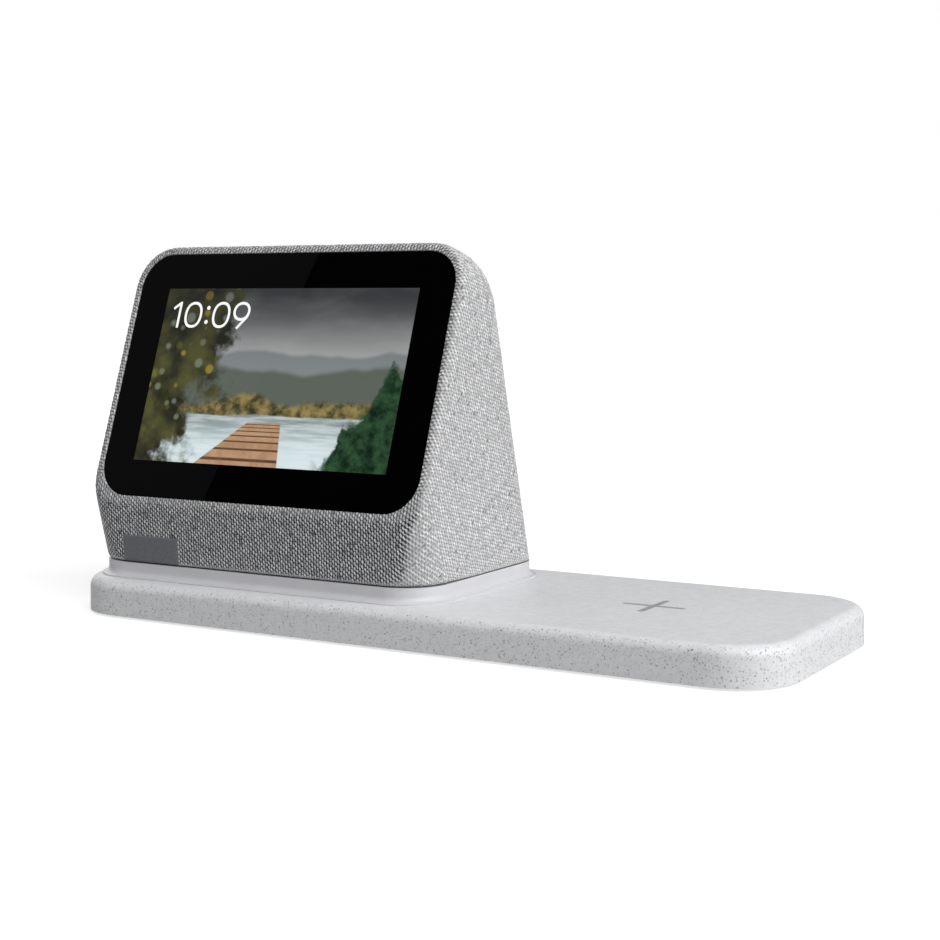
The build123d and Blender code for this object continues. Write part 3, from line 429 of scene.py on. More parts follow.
def weave(name):
    """Pale floats that lean over darker cross yarns, with painted shade in the gaps and cross yarns on the
    front.

    The UV map counts the yarns and their crossings.
    """
    paint = Paint(name, roughness=0.92, specular_ior_level=0.12, sheen_weight=0.2, sheen_roughness=0.5)
    counted = paint.node("UVMap", uv_map="yarn_count").outputs[0]
    waver = paint.shift(paint.noise(counted, 0.3, 1.0, output="Color"), (-0.5, -0.5, -0.5))
    strayed = paint.shift(counted, paint.stretch(waver, (YARN_STRAY, YARN_STRAY, 0.0)))
    yarn, crossing, _ = paint.split(strayed)
    yarn_number = paint.math("ROUND", yarn)
    crossing_number = paint.math("ROUND", crossing)
    aside = paint.math("SUBTRACT", yarn, yarn_number)
    ahead = paint.math("SUBTRACT", crossing, crossing_number)
    parity = paint.math("PINGPONG", paint.math("ADD", yarn_number, crossing_number), 1.0)

    # Painted shade: where the cloth faces the front its gaps and cross yarns are painted dark, less so
    # towards the top and the sides, soonest on the right side
    normal = paint.node("NewGeometry").outputs["Normal"]
    normal_x, _, normal_z = paint.split(normal)
    lifted = paint.ramp(normal_z, 0.02, 0.3)
    turned = paint.math("MULTIPLY_ADD", lifted, 0.3, normal_x)
    facing = paint.ramp(paint.dot(normal, (0.0, -1.0, 1.0)), 0.6, 0.85)
    facing = paint.math("MULTIPLY", facing, paint.ramp(turned, 0.36, 0.72, 1.0, 0.0))
    painted_front_shade = paint.math("MULTIPLY", facing, paint.ramp(lifted, 0.0, 1.0, 1.0, 0.65))
    leaning = paint.ramp(normal_x, 0.0, 0.35, 0.14, 0.38)

    def pale_float(flat, covered):
        """An oval that leans along its yarn, centred on the crossing where the yarn is not covered."""
        hop = paint.math("MULTIPLY", paint.math("SIGN", ahead), covered)
        reach = paint.math("SUBTRACT", ahead, hop)
        lean = paint.math("SUBTRACT", flat, paint.math("MULTIPLY", reach, leaning))
        across = paint.math("POWER", paint.math("DIVIDE", lean, FLOAT_HALF_WIDTH), 2.0)
        lengthwise = paint.math("POWER", paint.math("DIVIDE", reach, FLOAT_HALF_LENGTH), 2.0)
        return paint.ramp(paint.math("ADD", across, lengthwise), 0.45, 1.2, 1.0, 0.0)

    neighbour = paint.math("SUBTRACT", aside, paint.math("SIGN", aside))
    uncovered = paint.math("SUBTRACT", 1.0, parity)
    floats = paint.math("MAXIMUM", pale_float(aside, parity), pale_float(neighbour, uncovered))
    dip = paint.math("MAXIMUM", paint.math("ABSOLUTE", aside), paint.math("ABSOLUTE", ahead))
    cross_float = paint.math("MULTIPLY", paint.ramp(dip, 0.25, 0.5, 1.0, 0.0), parity)

    # Colours, with a drift along the yarns, a few grey floats and fewer dark ones
    fibre = paint.noise(paint.stretch(counted, (9.0, 3.0, 1.0)), 1.0, 3.0, 0.6)
    heather = paint.noise(paint.stretch(counted, (0.6, 0.35, 1.0)), 1.0, 3.0, 0.65)
    luck = paint.chance(paint.combine(yarn_number, crossing_number, 5.0))
    tone = paint.math("MULTIPLY_ADD", paint.math("SUBTRACT", luck, 0.5), 0.3, paint.ramp(heather, 0.3, 0.7))
    # Painted shade: the front mask above turns the cross yarns and the gaps dark on the front; elsewhere the
    # gaps are partly the darker cloth under the floats and partly painted shade between them
    dull = paint.mix(painted_front_shade, linear(180, 180, 181), linear(176, 178, 182))
    pale = paint.mix(tone, dull, linear(245, 245, 246))
    pale = paint.mix(paint.math("LESS_THAN", luck, GREY_SHARE), pale, linear(186, 187, 189))
    fleck = paint.math("LESS_THAN", luck, paint.ramp(heather, 0.35, 0.6, DARK_SHARE, 0.0))
    pale = paint.mix(fleck, pale, linear(118, 119, 122))
    cross = paint.mix(painted_front_shade, linear(183, 183, 184), linear(69, 71, 75))
    gap = paint.mix(painted_front_shade, linear(145, 145, 146), linear(39, 40, 43))
    colour = paint.mix(floats, paint.mix(cross_float, gap, cross), pale)
    colour = paint.mix(paint.ramp(fibre, 0.4, 0.8, 0.0, 0.2), colour, linear(96, 96, 99))
    paint.put("Base Color", colour)
    paint.bump(paint.math("MULTIPLY_ADD", fibre, 0.3, floats), 0.08 * MM, 0.5)
    return paint.material


def woven_tag(name):
    """Close-woven dark grey tape."""
    paint = Paint(name, roughness=0.85, specular_ior_level=0.15, sheen_weight=0.1)
    spot = paint.place()
    x, _, z = paint.split(spot)
    ribs = paint.math("SINE", paint.math("MULTIPLY", paint.math("ADD", x, z), 2 * pi / TAG_THREAD))
    fibre = paint.noise(spot, 2400.0, 3.0, 0.6)
    level = paint.math("MULTIPLY_ADD", ribs, 0.25, fibre)
    tone = paint.ramp(level, 0.1, 0.9)
    paint.put("Base Color", paint.mix(tone, linear(94, 96, 100), linear(124, 126, 130)))
    paint.bump(level, 0.04 * MM, 0.5)
    return paint.material


def screen_picture(paint, u, v):
    """A soft lake view: blurred leaves on the left, hazy hills, firs on the right, a jetty on pale water."""
    a = paint.math("ADD", paint.math("DIVIDE", u, PICTURE.x), 0.5)
    b = paint.math("ADD", paint.math("DIVIDE", v, PICTURE.y), 0.5)
    here = paint.combine(paint.math("MULTIPLY", a, PICTURE.x / PICTURE.y), b)

    def ridge(base, swing, scale, seed, soft):
        crest = paint.math("MULTIPLY_ADD", paint.noise(paint.combine(a, seed), scale, 3.0), swing, base)
        return paint.ramp(paint.math("SUBTRACT", crest, b), -soft, soft)

    haze = paint.noise(paint.stretch(here, (1.0, 3.0, 1.0)), 2.0, 3.0)
    sky = paint.mix(paint.ramp(b, 0.5, 1.0), linear(178, 180, 180), linear(74, 77, 80))
    sky = paint.mix(paint.ramp(haze, 0.4, 0.8, 0.0, 0.25), sky, linear(196, 198, 197))
    view = paint.mix(ridge(0.52, 0.22, 2.6, 4.0, 0.015), sky, linear(130, 136, 137))
    view = paint.mix(ridge(0.38, 0.30, 2.2, 9.0, 0.02), view, linear(92, 100, 92))
    tufts = paint.noise(here, 14.0, 5.0, 0.6)
    meadow = paint.mix(paint.ramp(tufts, 0.35, 0.68), linear(54, 58, 38), linear(150, 132, 84))
    view = paint.mix(ridge(0.24, 0.26, 3.4, 17.0, 0.02), view, meadow)
    # Water, brighter towards the viewer, with ripples
    ripples = paint.noise(paint.stretch(here, (3.0, 34.0, 1.0)), 1.0, 4.0, 0.6)
    deep = paint.mix(paint.ramp(b, 0.05, 0.3), linear(206, 222, 226), linear(120, 134, 134))
    water = paint.mix(paint.ramp(ripples, 0.35, 0.65, 0.0, 0.5), deep, linear(232, 240, 240))
    shore = paint.math("MULTIPLY_ADD", paint.noise(paint.combine(a, 31.0), 5.0, 3.0), 0.05, 0.255)
    view = paint.mix(paint.ramp(paint.math("SUBTRACT", shore, b), -0.006, 0.006), view, water)
    # Jetty of warm planks that runs in from the lower edge
    aside = paint.math("ABSOLUTE", paint.math("SUBTRACT", a, paint.math("MULTIPLY_ADD", b, 0.35, 0.42)))
    half = paint.math("MULTIPLY_ADD", b, -0.42, 0.17)
    planks = paint.math("SINE", paint.math("DIVIDE", 14.0, paint.math("SUBTRACT", 0.42, b)))
    wood = paint.mix(paint.ramp(planks, -0.95, -0.5), linear(86, 62, 44), linear(186, 150, 118))
    wood = paint.mix(paint.ramp(tufts, 0.35, 0.7, 0.0, 0.4), wood, linear(132, 92, 66))
    on_jetty = paint.math("MULTIPLY", paint.ramp(paint.math("SUBTRACT", half, aside), 0.0, 0.006),
                          paint.ramp(b, 0.235, 0.245, 1.0, 0.0))
    view = paint.mix(on_jetty, view, wood)
    # Firs
    sway = paint.math("MULTIPLY_ADD", paint.noise(here, 3.0, 2.0), 1.5, paint.math("MULTIPLY", a, 15.0))
    teeth = paint.math("PINGPONG", sway, 1.0)
    firs = paint.math("MULTIPLY_ADD", teeth, 0.15, paint.ramp(a, 0.74, 0.98, 0.0, 0.46))
    rough_firs = paint.math("MULTIPLY_ADD", tufts, 0.22, paint.math("SUBTRACT", firs, 0.11))
    below = paint.ramp(paint.math("SUBTRACT", rough_firs, b), -0.02, 0.03)
    fir_cover = paint.math("MULTIPLY", below, paint.ramp(a, 0.7, 0.78))
    needles = paint.mix(paint.ramp(tufts, 0.3, 0.7), linear(16, 34, 24), linear(52, 84, 56))
    view = paint.mix(fir_cover, view, needles)
    # Blurred leaves with round spots of light
    gloom = paint.noise(here, 5.0, 3.0)
    leaves = paint.mix(paint.ramp(gloom, 0.35, 0.65), linear(38, 38, 30), linear(84, 84, 48))
    for size, seed, first, second in (
        (0.150, 0.0, linear(60, 66, 30), linear(150, 158, 62)),
        (0.105, 3.7, linear(150, 136, 44), linear(206, 190, 92)),
        (0.120, 8.1, linear(112, 122, 96), linear(206, 218, 214)),
        (0.085, 5.3, linear(58, 66, 38), linear(176, 186, 150)),
    ):
        distance, tone = paint.cells(paint.shift(here, (seed, seed, 0)), 1 / size, scatter=0.45)
        parts = paint.node("SeparateColor", tone).outputs
        radius = paint.math("MULTIPLY_ADD", parts[1], 0.14, 0.16)
        disc = paint.ramp(paint.math("SUBTRACT", radius, distance), -0.06, 0.08)
        shown = paint.math("MULTIPLY", disc, paint.math("LESS_THAN", parts[0], 0.45))
        leaves = paint.mix(paint.math("MULTIPLY", shown, 0.75), leaves, paint.mix(parts[2], first, second))
    slant = paint.math("MULTIPLY_ADD", b, 0.22, -0.12)
    edge = paint.math("MULTIPLY_ADD", paint.noise(here, 4.0, 4.0, 0.6), 0.6, slant)
    view = paint.mix(paint.ramp(paint.math("SUBTRACT", edge, a), -0.02, 0.08), view, leaves)
    # The upper part is dimmed behind the clock
    scrim = paint.ramp(b, 0.45, 1.0, 0.0, 0.6)
    return paint.mix(scrim, view, linear(34, 36, 37))


def cover_glass(name):
    """Black-backed cover glass with the lit picture behind its window."""
    paint = Paint(name, roughness=0.012, specular_ior_level=0.024, emission_strength=1.0)
    local = paint.shift(paint.place(), -DISPLAY)
    u = paint.dot(local, ACROSS)
    v = paint.dot(local, SCREEN_UP)
    wide = paint.math("LESS_THAN", paint.math("ABSOLUTE", u), PICTURE.x / 2)
    tall = paint.math("LESS_THAN", paint.math("ABSOLUTE", v), PICTURE.y / 2)
    front = paint.math("GREATER_THAN", paint.dot(local, SCREEN_OUT), -2 * GLASS_SINK)
    lit = paint.math("MULTIPLY", paint.math("MULTIPLY", wide, tall), front)
    paint.put("Emission Color", paint.mix(lit, (0, 0, 0, 1), screen_picture(paint, u, v)))
    smear = paint.noise(paint.place(), 60.0, 3.0)
    paint.put("Base Color", paint.mix(smear, linear(0, 0, 0), linear(2, 2, 2)))
    return paint.material


def lit_digits(name):
    """White light of the clock figures, with the display's pixel rows."""
    paint = Paint(name, roughness=0.4, base_color=(0, 0, 0, 1), emission_strength=1.0)
    local = paint.shift(paint.place(), -DISPLAY)
    rows = paint.math("SINE", paint.math("MULTIPLY", paint.dot(local, SCREEN_UP), 2 * pi / PIXEL_ROW))
    glow = paint.mix(paint.ramp(rows, -1.0, 1.0), linear(244, 246, 247), linear(255, 255, 255))
    paint.put("Emission Color", glow)
    return paint.material


materials = {
    "fabric": weave("woven_fabric"),
    "tag": woven_tag("tag_tape"),
    "housing": moulded("housing_plastic", linear(150, 150, 154), 0.5),
    "cover_glass": cover_glass("cover_glass"),
    "panel": moulded("panel_film", linear(34, 36, 40), 0.2),
    "gasket": sintered("gasket_foam", linear(28, 28, 29), 0.8, 0.4 * MM),
    "steel": metal("plated_steel", linear(196, 196, 198), 0.28),
    "flex": moulded("flex_film", linear(176, 110, 40), 0.3),
    "board": circuit("circuit_board"),
    "chip": moulded("chip_epoxy", linear(40, 40, 42), 0.5),
    "aluminium": metal("pressed_aluminium", linear(214, 214, 217), 0.35),
    "contact": metal("gold_plate", linear(226, 190, 104), 0.22),
    "copper": wound_copper("enamelled_copper"),
    "ferrite": sintered("sintered_ferrite", linear(50, 50, 52), 0.6, 0.25 * MM),
    "shell": speckled_shell("speckled_shell"),
    "collar": satin_collar("satin_collar"),
    "inner": moulded("inner_plastic", linear(196, 196, 200), 0.45),
    "led": lamp_lens("led_lens"),
    "black": moulded("black_plastic", linear(38, 38, 40), 0.42),
    "rubber": rubber("foot_rubber", linear(66, 66, 68)),
    "control": moulded("control_plastic", linear(168, 168, 172), 0.4),
    "cone": sintered("cone_paper", linear(44, 44, 47), 0.7, 0.5 * MM),
}
for part in frame["record"]["subparts"]:
    node = frame["nodes"][part["node"]]
    node.data.materials.clear()
    node.data.materials.append(materials[part["material_slot"]])


def as_mesh(made, name):
    """A bmesh as a finished mesh."""
    mesh = bpy.data.meshes.new(name)
    made.to_mesh(mesh)
    made.free()
    return mesh


def piece(name, mesh, body, slot, finish=None):
    """A new piece of the object on a body, with the finish of its slot or one of its own."""
    made = bpy.data.objects.new(name, mesh)
    bpy.context.scene.collection.objects.link(made)
    made.data.materials.append(finish or materials[slot])
    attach(made, body)
    return made


# Fabric sleeve: yarns laid over the head's form as a lattice of points
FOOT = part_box("fabric_sleeve")[0].z + FOOT_GAP


def head_skin():
    """The head's outer form with its openings closed, as a search tree."""
    form = bmesh.new()
    for vertex in frame["nodes"]["fabric_sleeve"].data.vertices:
        form.verts.new(vertex.co)
    bmesh.ops.convex_hull(form, input=form.verts)
    tree = BVHTree.FromBMesh(form)
    form.free()
    return tree


skin = head_skin()


def walk(start, direction, step, count):
    """Points that follow the skin straight on from start, step apart."""
    here, _, _, _ = skin.find_nearest(start)
    heading = direction.normalized()
    points = [here]
    for _ in range(count):
        there, normal, _, _ = skin.find_nearest(here + heading * step)
        moved = there - here
        if moved.length > STANDSTILL:
            heading = moved - normal * moved.dot(normal)
            heading.normalize()
        points.append(there)
        here = there
    return points


def both_ways(start, direction, step, back, ahead):
    """A walk over two lengths, back and ahead of start, as one list that runs along direction."""
    behind = walk(start, -direction, step, round(back / step))
    return behind[:0:-1] + walk(start, direction, step, round(ahead / step))


def lattice(start, yarn, pitch, half_width, lengths):
    """Points on the skin: one row for each yarn, one point for each crossing along it."""
    yarn_step, crossing_step = pitch
    rows = []
    for point in both_ways(start, ACROSS, yarn_step, half_width, half_width):
        rows.append(both_ways(point, yarn, crossing_step, *lengths))
    points = np.array([[tuple(p) for p in row] for row in rows])
    for _ in range(SMOOTHING_PASSES):
        for axis in (0, 1):
            inner = [slice(None)] * 2
            low, high = list(inner), list(inner)
            inner[axis], low[axis], high[axis] = slice(1, -1), slice(None, -2), slice(2, None)
            middle = points[tuple(inner)] * 0.5 + (points[tuple(low)] + points[tuple(high)]) * 0.25
            points[tuple(inner)] = middle
    return points


def lift(points, seams, seed):
    """The lattice with its yarns raised and sunk at the crossings, level beside the seams."""
    along_row = np.gradient(points, axis=1)
    across_row = np.gradient(points, axis=0)
    normals = np.cross(across_row, along_row)
    normals /= np.linalg.norm(normals, axis=2, keepdims=True) + NOT_ZERO
    outward = ((points - np.array(HEAD_CENTRE)) * normals).sum(axis=2, keepdims=True)
    normals *= np.sign(outward)
    rows, columns = np.indices(points.shape[:2])
    chance = np.random.default_rng(seed)
    yarn_size = chance.uniform(*YARN_SPREAD, (points.shape[0], 1))
    height = np.cos(pi * (rows + columns)) * yarn_size * chance.uniform(*CROSSING_SPREAD, rows.shape)
    level = np.ones(rows.shape)
    for spot, normal in seams:
        gap = np.abs((points - np.array(spot)) @ np.array(normal))
        level *= np.clip(gap / SEAM_LEVEL, 0, 1)
    return points + normals * (height * level * WEAVE_DEPTH)[..., None]


def quads(made, rows):
    """Smooth faces between the rows of a grid of vertices, each with the grid places of its corners."""
    for i in range(len(rows) - 1):
        for j in range(len(rows[0]) - 1):
            places = [(i, j), (i + 1, j), (i + 1, j + 1), (i, j + 1)]
            face = made.faces.new([rows[a][b] for a, b in places])
            face.smooth = True
            yield face, places


def panel(points, first_yarn):
    """A bmesh of quads over the lattice, whose UV map counts yarns and crossings."""
    made = bmesh.new()
    count = made.loops.layers.uv.new("yarn_count")
    rows = [[made.verts.new(p) for p in row] for row in points]
    for face, places in quads(made, rows):
        for loop, (yarn, crossing) in zip(face.loops, places):
            loop[count].uv = (yarn + first_yarn, crossing)
    return made


def trim(made, spot, normal):
    """Cuts the panel at a plane and drops what lies on the side that normal points to."""
    everything = made.verts[:] + made.edges[:] + made.faces[:]
    bmesh.ops.bisect_plane(made, geom=everything, plane_co=spot, plane_no=normal, clear_outer=True)


def rounded_outline(size, corner):
    """Points round a rectangle with rounded corners, centred on the origin."""
    outline = []
    for quarter, (sign_x, sign_y) in enumerate(((1, 1), (-1, 1), (-1, -1), (1, -1))):
        centre = Vector((sign_x * (size.x / 2 - corner), sign_y * (size.y / 2 - corner)))
        for step in range(CORNER_STEPS + 1):
            angle = (quarter + step / CORNER_STEPS) * pi / 2
            outline.append(centre + Vector((cos(angle), sin(angle))) * corner)
    return outline


def widened(size, corner, gap):
    """The outline of a rounded rectangle with a gap all round."""
    return rounded_outline(size + Vector((2, 2)) * gap, corner + gap)


def cut_hole(made, origin, u_axis, v_axis, outline):
    """Cuts a convex opening along an outline in a face's plane, and turns its edge in."""
    out = u_axis.cross(v_axis)
    reach = max(p.length for p in outline) + HOLE_MARGIN

    def flat(point):
        return Vector(((point - origin).dot(u_axis), (point - origin).dot(v_axis)))

    def near(point):
        return flat(point).length < reach and abs((point - origin).dot(out)) < HOLE_DEPTH

    edges = [(p, q) for p, q in zip(outline, outline[1:] + outline[:1]) if (q - p).length > SHORTEST_EDGE]
    faces = [f for f in made.faces if near(f.calc_center_median())]
    local = list(dict.fromkeys(item for f in faces for item in (*f.verts, *f.edges))) + faces
    for p, q in edges:
        way = q - p
        normal = u_axis * way.y - v_axis * way.x
        spot = origin + u_axis * p.x + v_axis * p.y
        halves = bmesh.ops.bisect_plane(made, geom=local, plane_co=spot, plane_no=normal, dist=SHORTEST_EDGE)
        local = halves["geom"]

    def inside(point):
        here = flat(point)
        return all((q - p).cross(here - p) > 0 for p, q in edges)

    gone = [f for f in made.faces if near(f.calc_center_median()) and inside(f.calc_center_median())]
    edges_gone = dict.fromkeys(e for f in gone for e in f.edges)
    bmesh.ops.delete(made, geom=gone, context="FACES")
    rim = [e for e in edges_gone if e.is_valid and e.is_boundary]
    for item in bmesh.ops.extrude_edge_only(made, edges=rim)["geom"]:
        if isinstance(item, bmesh.types.BMVert):
            item.co -= out * HEM
        if isinstance(item, bmesh.types.BMFace):
            item.smooth = True


def tuck_foot(made):
    """Turns the lower edge of a panel in under the head."""
    rim = [e for e in made.edges if e.is_boundary and all(abs(v.co.z - FOOT) < AT_FOOT for v in e.verts)]
    for item in bmesh.ops.extrude_edge_only(made, edges=rim)["geom"]:
        if isinstance(item, bmesh.types.BMVert):
            inward = HEAD_CENTRE - item.co
            inward.z = 0
            item.co += inward.normalized() * HEM


# Where the panels start, and the planes of the seams between them
top_front = DISPLAY + SCREEN_UP * SCREEN_RISE
button_row = top_front + TOP_BACK * BUTTON_SETBACK
over_start = top_front + TOP_BACK * OVER_SETBACK
rear_origin = DISPLAY + REAR_FOOT + REAR_UP * REAR_CENTRE_RISE
chin_start = DISPLAY + CHIN_FOOT + CHIN_UP * CHIN_START_RISE
corner_low = DISPLAY + CHIN_FOOT + Vector((0, CHIN_CORNER, 0))
corner_line = (DISPLAY + CHIN_CORNER_TOP - corner_low).normalized()
rear_seam = (DISPLAY + REAR_FOOT - REAR_OUT * SEAM_INSET, REAR_OUT)
chin_seam = (corner_low, ACROSS.cross(corner_line))
under_foot = (Vector((0, 0, FOOT)), Vector((0, 0, -1)))

# Panels over the top and sides, on the rear and on the chin
over_points = lattice(over_start, TOP_BACK, SIDE_PITCH, OVER_HALF_GIRTH, OVER_FORE_AND_AFT)
rear_points = lattice(rear_origin, REAR_UP, SIDE_PITCH, REAR_HALF_WIDTH, REAR_DOWN_AND_UP)
chin_points = lattice(chin_start, -CHIN_UP, CHIN_PITCH, CHIN_HALF_WIDTH, CHIN_UP_AND_DOWN)
over = panel(lift(over_points, (rear_seam, chin_seam), seed=1), FIRST_YARNS["over"])
rear = panel(lift(rear_points, (rear_seam,), seed=2), FIRST_YARNS["rear"])
chin = panel(lift(chin_points, (chin_seam,), seed=3), FIRST_YARNS["chin"])
trim(over, *rear_seam)
trim(over, *chin_seam)
trim(rear, rear_seam[0], -rear_seam[1])
trim(chin, chin_seam[0], -chin_seam[1])
for part in (over, rear, chin):
    trim(part, *under_foot)

# Openings for the glass, the buttons, the switch and the inlet
glass_outline = widened(GLASS, GLASS_CORNER, GLASS_GAP)
button_outline = widened(BUTTON, BUTTON.y / 2, BUTTON_GAP)
bezel_outline = widened(BEZEL, BEZEL.y / 2, REAR_GAP)
inlet_outline = widened(Vector((2, 2)) * INLET_RADIUS, INLET_RADIUS, REAR_GAP)
for part in (over, chin):
    cut_hole(part, DISPLAY, ACROSS, SCREEN_UP, glass_outline)
for offset in (-BUTTON_OFFSET, BUTTON_OFFSET):
    cut_hole(over, button_row + ACROSS * offset, ACROSS, TOP_BACK, button_outline)
for spot, outline in ((BEZEL_SPOT, bezel_outline), (INLET_SPOT, inlet_outline)):
    cut_hole(rear, rear_origin + ACROSS * spot.x + REAR_UP * spot.y, -ACROSS, REAR_UP, outline)

# The three panels as one cover
whole = bmesh.new()
for part in (over, rear, chin):
    tuck_foot(part)
    scrap = as_mesh(part, "panel")
    whole.from_mesh(scrap)
    bpy.data.meshes.remove(scrap)
bmesh.ops.recalc_face_normals(whole, faces=whole.faces)
cover = piece("fabric_cover", as_mesh(whole, "fabric_cover"), "head", "fabric")
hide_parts("fabric_sleeve")


# Sewn tag on the chin
def tag_mesh():
    """A thin ribbed tape whose edges turn down to the fabric."""
    low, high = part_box("fabric_tag")
    centre = (low + high) / 2
    width = high.x - low.x
    columns, rows = TAG_GRID
    made = bmesh.new()
    grid = []
    for i in range(columns + 1):
        line = []
        for j in range(rows + 1):
            u = (i / columns - 0.5) * width
            v = (j / rows - 0.5) * TAG_HEIGHT
            edge = min(width / 2 - abs(u), TAG_HEIGHT / 2 - abs(v))
            rise = TAG_THICKNESS * min(1.0, (edge / TAG_EDGE) ** 0.5) - TAG_SUNK
            rib = TAG_RIB * (1 if (i + j) % 4 < 2 else -1) * min(1.0, edge / TAG_RIB_FADE)
            spot = centre + ACROSS * u + CHIN_UP * v + CHIN_OUT * (rise + rib - TAG_THICKNESS / 2)
            line.append(made.verts.new(spot))
        grid.append(line)
    faces = [face for face, _ in quads(made, grid)]
    bmesh.ops.recalc_face_normals(made, faces=faces)
    return as_mesh(made, "sewn_tag")


tag = piece("sewn_tag", tag_mesh(), "head", "tag")
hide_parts("fabric_tag")


# Clock figures on the display, as flat strokes in the screen plane
def on_screen(u, v):
    """A point just in front of the glass, u across and v up from the display's centre in millimetres."""
    return DISPLAY + ACROSS * u * MM + SCREEN_UP * v * MM - SCREEN_OUT * FIGURES_SINK


def ribbon(made, points, closed=False):
    """A flat stroke of even width along points in the screen plane, in millimetres."""
    count = len(points)
    rails = []
    for k, point in enumerate(points):
        before = points[k - 1] if closed or k else point
        after = points[(k + 1) % count] if closed or k < count - 1 else point
        way = (Vector(after) - Vector(before)).normalized()
        side = Vector((-way.y, way.x)) * STROKE / 2
        rails.append([made.verts.new(on_screen(*(Vector(point) + side * sign))) for sign in (-1, 1)])
    for k in range(count if closed else count - 1):
        first, second = rails[k], rails[(k + 1) % count]
        made.faces.new((first[0], second[0], second[1], first[1]))


def oval(centre, half, power, steps=40):
    """Points round an oval, more squared with a higher power."""
    points = []
    for k in range(steps):
        angle = 2 * pi * k / steps
        x, y = cos(angle), sin(angle)
        reach = (abs(x) ** power + abs(y) ** power) ** (-1 / power)
        points.append((centre[0] + half[0] * x * reach, centre[1] + half[1] * y * reach))
    return points


def plate(made, points):
    """One flat face in the screen plane."""
    made.faces.new([made.verts.new(on_screen(*p)) for p in points])


def clock_mesh():
    """The time 10:09 as one flat mesh."""
    middle, half = (DIGIT_FOOT + DIGIT_TOP) / 2, (DIGIT_TOP - DIGIT_FOOT) / 2
    foot, top = DIGIT_FOOT - STROKE / 2, DIGIT_TOP + STROKE / 2
    left, right = ONE_STEM - STROKE / 2, ONE_STEM + STROKE / 2
    flag = [(left + x, top + y) for x, y in ONE_FLAG]
    bowl = (NINE_CENTRE, DIGIT_TOP - NINE_HALF[1])
    tail = [(bowl[0] + x, bowl[1] + y) for x, y in NINE_SHOULDER]
    made = bmesh.new()
    plate(made, [(right, foot), (right, top), *flag, (left, foot)])
    for centre in ZERO_CENTRES:
        ribbon(made, oval((centre, middle), (ZERO_HALF_WIDTH, half), ZERO_SQUARENESS), closed=True)
    for rise in COLON_RISES:
        plate(made, oval((COLON_CENTRE, rise), (COLON_RADIUS, COLON_RADIUS), 2.0, COLON_STEPS))
    ribbon(made, oval(bowl, NINE_HALF, NINE_SQUARENESS), closed=True)
    ribbon(made, [*tail, NINE_TAIL])
    return as_mesh(made, "clock_figures")


piece("clock_figures", clock_mesh(), "head", "panel", lit_digits("clock_light"))


# Raised marks on the volume buttons
def raised_bars(name, origin, bars):
    """Low rounded bars on the top face: a plus or a minus."""
    made = bmesh.new()
    turn = Matrix((ACROSS, TOP_BACK, TOP_OUT)).transposed().to_4x4()
    for along, wide in bars:
        place = Matrix.Translation(origin) @ turn @ Matrix.Diagonal((along, wide, MARK_HEIGHT, 1.0))
        bmesh.ops.create_cube(made, size=1.0, matrix=place)
    bmesh.ops.bevel(made, geom=made.edges[:], offset=MARK_EDGE, segments=2, affect="EDGES")
    return as_mesh(made, name)


for side, body, bars in (
    (1, "volume_up", ((MARK_LENGTH, MARK_WIDTH), (MARK_WIDTH, MARK_LENGTH))),
    (-1, "volume_down", ((MARK_LENGTH, MARK_WIDTH),)),
):
    spot = button_row + ACROSS * side * BUTTON_OFFSET + TOP_OUT * BUTTON_PROUD
    piece(body + "_mark", raised_bars(body + "_mark", spot, bars), body, "black")


# Plus mark of the charging pad
def plus_mesh(name):
    """A thin plus with softened edges, its top just below the deck."""
    arm, half = PAD_SPAN / 2, PAD_STROKE / 2
    corners = []
    for quarter in range(4):
        turn = Matrix.Rotation(quarter * pi / 2, 2)
        corners += [turn @ Vector(p) for p in ((half, half), (half, arm), (-half, arm))]
    made = bmesh.new()
    low = made.faces.new([made.verts.new((*p, PAD_LOW)) for p in corners])
    drawn = bmesh.ops.extrude_face_region(made, geom=[low])["geom"]
    for vertex in [v for v in drawn if isinstance(v, bmesh.types.BMVert)]:
        vertex.co.z = PAD_HIGH
    bmesh.ops.recalc_face_normals(made, faces=made.faces)
    top = [e for e in made.edges if all(v.co.z > (PAD_LOW + PAD_HIGH) / 2 for v in e.verts)]
    bmesh.ops.bevel(made, geom=top, offset=PAD_EDGE, segments=2, affect="EDGES")
    bmesh.ops.translate(made, verts=made.verts, vec=PAD_CENTRE)
    return as_mesh(made, name)


piece("pad_mark", plus_mesh("pad_mark"), "dock", "control")


# Studio: white floor, soft light from the right, camera
def set_world():
    """A white surround that lights the object weakly and is weaker still in its reflections."""
    world = bpy.data.worlds.new("studio")
    bpy.context.scene.world = world
    world.use_nodes = True
    tree = world.node_tree
    path = tree.nodes.new("ShaderNodeLightPath")
    level = None
    for ray, strength in SURROUND.items():
        term = tree.nodes.new("ShaderNodeMath")
        term.operation = "MULTIPLY_ADD"
        tree.links.new(path.outputs[ray], term.inputs[0])
        term.inputs[1].default_value = strength
        term.inputs[2].default_value = 0.0
        if level:
            tree.links.new(level, term.inputs[2])
        level = term.outputs[0]
    background = tree.nodes["Background"]
    tree.links.new(level, background.inputs["Strength"])
    background.inputs["Color"].default_value = (1, 1, 1, 1)


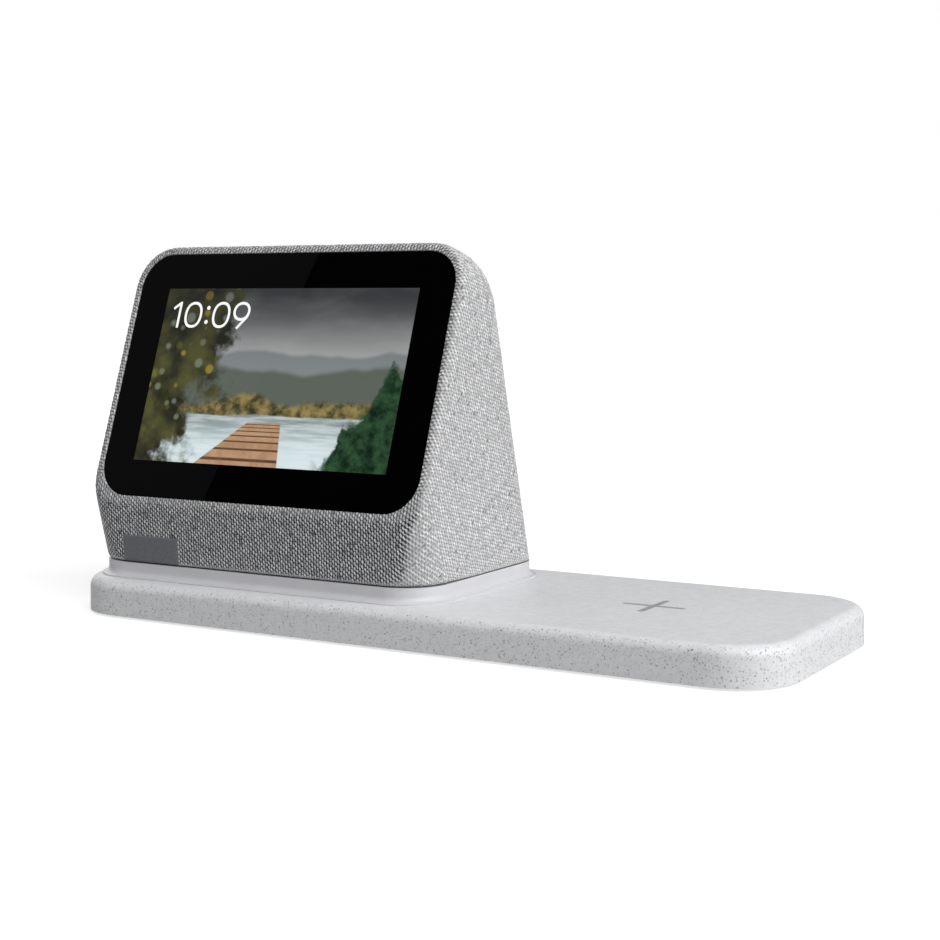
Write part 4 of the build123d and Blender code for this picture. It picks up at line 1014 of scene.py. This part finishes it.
def floor_material():
    """A pale grey floor that is seen as white, with a soft shadow near the object."""
    paint = Paint("studio_floor", roughness=0.9, specular_ior_level=0.0, emission_color=(1, 1, 1, 1))
    cloud = paint.noise(paint.place(), 3.0, 2.0)
    paint.put("Base Color", paint.mix(cloud, linear(185, 185, 185), linear(188, 188, 188)))
    path = paint.node("LightPath").outputs
    seen = paint.math("MAXIMUM", path["Is Camera Ray"], path["Is Transmission Ray"])
    seen = paint.math("MULTIPLY_ADD", path["Is Glossy Ray"], FLOOR_IN_GLOSS, seen)
    away = paint.node("VectorMath", paint.place(), operation="LENGTH").outputs["Value"]
    paint.put("Emission Strength", paint.math("MULTIPLY", seen, paint.ramp(away, *FLOOR_GLOW)))
    return paint.material


def add_floor():
    """One large level square just under the feet."""
    mesh = bpy.data.meshes.new("floor")
    corners = [(x * FLOOR_HALF, y * FLOOR_HALF, -FLOOR_DROP) for x, y in ((-1, -1), (1, -1), (1, 1), (-1, 1))]
    mesh.from_pydata(corners, [], [(0, 1, 2, 3)])
    mesh.materials.append(floor_material())
    floor = bpy.data.objects.new("floor", mesh)
    bpy.context.scene.collection.objects.link(floor)


def add_lamp(name, spot, aim, size, power):
    """A soft rectangular lamp that looks from a spot at an aim."""
    light = bpy.data.lights.new(name, "AREA")
    light.shape = "RECTANGLE"
    light.size, light.size_y = size
    light.energy = power
    lamp = bpy.data.objects.new(name, light)
    lamp.location = spot
    lamp.rotation_mode = "QUATERNION"
    lamp.rotation_quaternion = (Vector(aim) - Vector(spot)).to_track_quat("-Z", "Y")
    bpy.context.scene.collection.objects.link(lamp)


def add_camera():
    """The photograph's viewpoint, from its azimuth, elevation, roll and focal length."""
    a, e, roll = CAMERA_AZIMUTH, CAMERA_ELEVATION, CAMERA_ROLL
    back = Vector((sin(a) * cos(e), -cos(a) * cos(e), sin(e)))
    level = Vector((cos(a), sin(a), 0))
    upright = back.cross(level)
    right = level * cos(roll) + upright * sin(roll)
    up = upright * cos(roll) - level * sin(roll)
    data = bpy.data.cameras.new("camera")
    data.sensor_width = SENSOR
    data.lens = SENSOR * CAMERA_FOCAL_PX / PHOTO_PX
    camera = bpy.data.objects.new("camera", data)
    turn = Matrix((right, up, back)).transposed().to_4x4()
    camera.matrix_world = Matrix.Translation(CAMERA_SPOT) @ turn
    bpy.context.scene.collection.objects.link(camera)
    bpy.context.scene.camera = camera


set_world()
add_floor()
for lamp in LAMPS:
    add_lamp(*lamp)
add_camera()
bpy.context.scene.view_settings.view_transform = "Standard"
